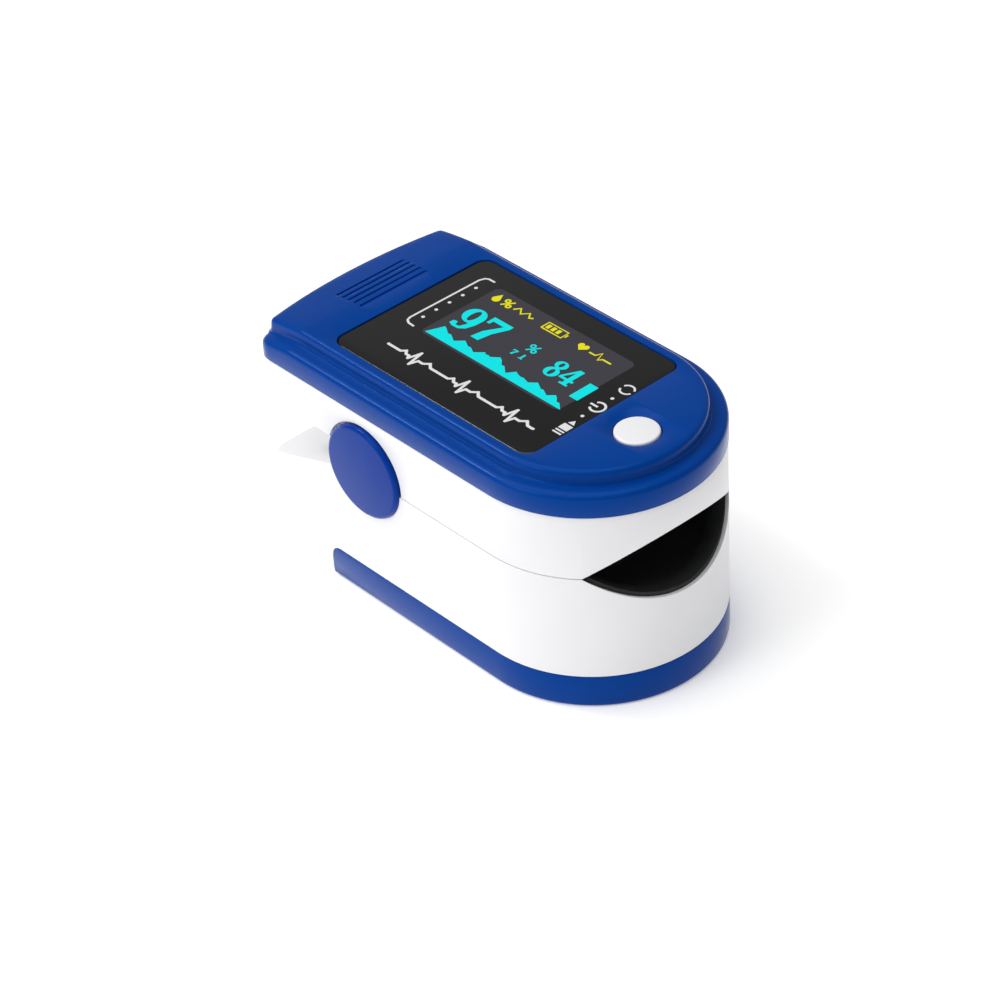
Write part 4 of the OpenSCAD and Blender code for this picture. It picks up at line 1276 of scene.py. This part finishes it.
# Beats of the wave: each peak with its height, and the dip after it.
wave_x, foot = -11.9, -3.5
wave = [((1.0, 2.4), (4.1, 1.0)), ((5.1, 2.0), (7.6, 1.0)), ((8.7, 2.0), (9.8, 1.7)),
        ((10.8, 2.5), (13.6, 0.7)), ((14.4, 1.8), (17.0, 1.2)), ((17.9, 2.0), (20.5, 0.9)),
        ((21.3, 1.7), (23.7, 0.1))]
outline = [(wave_x, foot)]
for (peak_x, peak), (dip_x, dip) in wave:
    for part, height in ((0, peak), (0.18, peak - 0.25), (0.45, (peak + dip) / 2 - 0.1),
                         (0.6, (peak + dip) / 2), (1, dip)):
        outline.append((wave_x + peak_x + part * (dip_x - peak_x), foot + height))
outline.append((wave_x + 23.7, foot))
readout = digit("9", -11.5, -0.4, 3.2, 4.8) + digit("7", -7.9, -0.4, 3.3, 4.8)
readout += digit("8", 4.4, 0.2, 2.1, 3.5) + digit("4", 6.75, 0.2, 2.3, 3.5)
readout += digit("7", -1.2, 0.4, 0.8, 1.0) + digit("1", 0.3, 0.4, 0.8, 1.0)
readout += [
    strokes("percent", percent(-0.3, 2.2, 1.5), 0.24, 0.03),
    filled("bar", [[(10.6, -0.85), (12.0, -0.85), (12.0, 2.67), (10.6, 2.67)]], 0.03),
    filled("wave", [outline], 0.03),
]
readout = join(readout, "readout_cyan")
finish(readout, "upper_half", "screen_glass", lit_cyan)

lit_signs = [
    filled("drop", [[(-10.8, 8.4), (-11.35, 7.4)] + arc(-10.8, 7.25, 0.6, 180, 360, 12)
                    + [(-10.25, 7.4)]], 0.03),
    strokes("percent", percent(-9.7, 6.75, 1.5), 0.28, 0.03),
    strokes("flow", [[(-7.6, 7.1), (-7.0, 7.9), (-6.2, 7.0), (-5.4, 7.9), (-4.8, 7.1),
                      (-4.3, 7.4)]], 0.3, 0.03),
    strokes("cell", [[(-2.3, 6.8), (1.1, 6.8), (1.1, 8.2), (-2.3, 8.2), (-2.3, 6.8)],
                     [(1.4, 7.2), (1.4, 7.8)]], 0.24, 0.03),
    filled("charge", [[(x, 7.1), (x + 0.55, 7.1), (x + 0.55, 7.9), (x, 7.9)]
                      for x in (-1.95, -1.1, -0.25)], 0.03),
    filled("heart", [[(4.45, 6.55), (3.65, 7.3), (3.65, 7.7), (3.95, 7.95), (4.25, 7.9), (4.45, 7.6),
                      (4.65, 7.9), (4.95, 7.95), (5.25, 7.7), (5.25, 7.3)]], 0.03),
    strokes("beat", [[(5.8, 7.1), (6.8, 7.1), (7.2, 8.0), (7.7, 6.6), (8.1, 7.1), (9.5, 7.1)]],
            0.28, 0.03),
]
lit_signs = join(lit_signs, "readout_yellow")
finish(lit_signs, "upper_half", "screen_glass", lit_yellow)


# ---------------------------------------------------------------- power button
# White ABS button in a shallow round dish at the front, held up by its flange
# under the cover and resting on the switch's plunger.

# White ABS, a little glossier than the shells where fingers polish it.
button_abs = moulded("polished white ABS", "#f2f2f3", "#ebebee", 0.28)
button = drum("power_button_cap", "z", (button_high.x - button_low.x) / 2, button_low.z,
              lens_low.z - 1.3, (button_x, 0), 96)
pick_faces(button, lambda c, n: n.z > 0.9)
bpy.ops.mesh.inset(thickness=0.6 * mm, depth=0)
bpy.ops.mesh.extrude_region_move(
    TRANSFORM_OT_translate={"value": (0, 0, (button_high.z - lens_low.z + 1.3) * mm)})
done()
round_edges(button, at_height(button_high.z), 0.28, 5)
ease(button, 0.05, 1)
finish(button, "button", "button_white", button_abs, "power_button")


# ---------------------------------------------------------------- floor, light and camera
# Pale flat floor with a faint glow, a wide soft light overhead, two weaker square lamps
# and an even white surround.

bpy.ops.object.select_all(action="DESELECT")
bpy.ops.mesh.primitive_plane_add(size=6, location=(0, 0, -0.02 * mm))
floor = settle("floor")
# Matte white sheet on a light table: its faint glow fills the shadow.
paper = blank("matte white paper")
place = add(paper, "ShaderNodeTexCoord").outputs["Object"]
fibre = add(paper, "ShaderNodeTexNoise", {"Vector": place, "Scale": per_mm(1.5)})
rough = add(paper, "ShaderNodeMapRange", {"Value": fibre.outputs["Fac"], "To Min": 0.85, "To Max": 1.0})
sheet = add(paper, "ShaderNodeBsdfPrincipled",
            {"Base Color": linear("#f6f6f6"), "Roughness": rough.outputs["Result"],
             "Specular IOR Level": 0.1, "Emission Color": (1, 1, 1, 1), "Emission Strength": 0.3})
add(paper, "ShaderNodeOutputMaterial", {"Surface": sheet.outputs["BSDF"]})
floor.data.materials.append(paper)

world = bpy.data.worlds.new("even surround")
bpy.context.scene.world = world
world.use_nodes = True
world.node_tree.nodes["Background"].inputs["Color"].default_value = (1, 1, 1, 1)
world.node_tree.nodes["Background"].inputs["Strength"].default_value = 0.25


def softbox(name, place, target, size, power):
    """Square area light that faces a point."""
    light = bpy.data.lights.new(name, "AREA")
    light.shape = "SQUARE"
    light.size = size
    light.energy = power
    lamp = bpy.data.objects.new(name, light)
    bpy.context.scene.collection.objects.link(lamp)
    lamp.location = place
    lamp.rotation_euler = (Vector(target) - Vector(place)).to_track_quat("-Z", "Y").to_euler()
    return lamp


softbox("near softbox", (-0.12, -0.62, 0.42), (0, 0, 0.015), 0.3, 1.2)
softbox("key softbox", (-0.42, -0.2, 0.56), (0, 0, 0.02), 0.12, 0.9)
sky = bpy.data.lights.new("studio ceiling", "SUN")
sky.energy = 1.85
sky.angle = math.radians(70)
ceiling = bpy.data.objects.new("studio ceiling", sky)
bpy.context.scene.collection.objects.link(ceiling)
ceiling.rotation_euler = Vector((0.22, 0.22, -1)).to_track_quat("-Z", "Y").to_euler()

camera = bpy.data.cameras.new("camera")
camera.lens = 125.7
camera.sensor_width = 36
camera.clip_start = 0.01
view = bpy.data.objects.new("camera", camera)
bpy.context.scene.collection.objects.link(view)
azimuth, elevation, roll = (math.radians(a) for a in (49.471, 36.74, -3.41))
back = Vector((math.sin(azimuth) * math.cos(elevation), -math.cos(azimuth) * math.cos(elevation),
               math.sin(elevation)))
level = Vector((math.cos(azimuth), math.sin(azimuth), 0))
over = back.cross(level)
right = math.cos(roll) * level + math.sin(roll) * over
up = -math.sin(roll) * level + math.cos(roll) * over
turn = Matrix((right, up, back)).transposed()
view.matrix_world = Matrix.Translation((0.25788, -0.22384, 0.26723)) @ turn.to_4x4()
bpy.context.scene.camera = view
bpy.context.scene.view_settings.view_transform = "Standard"
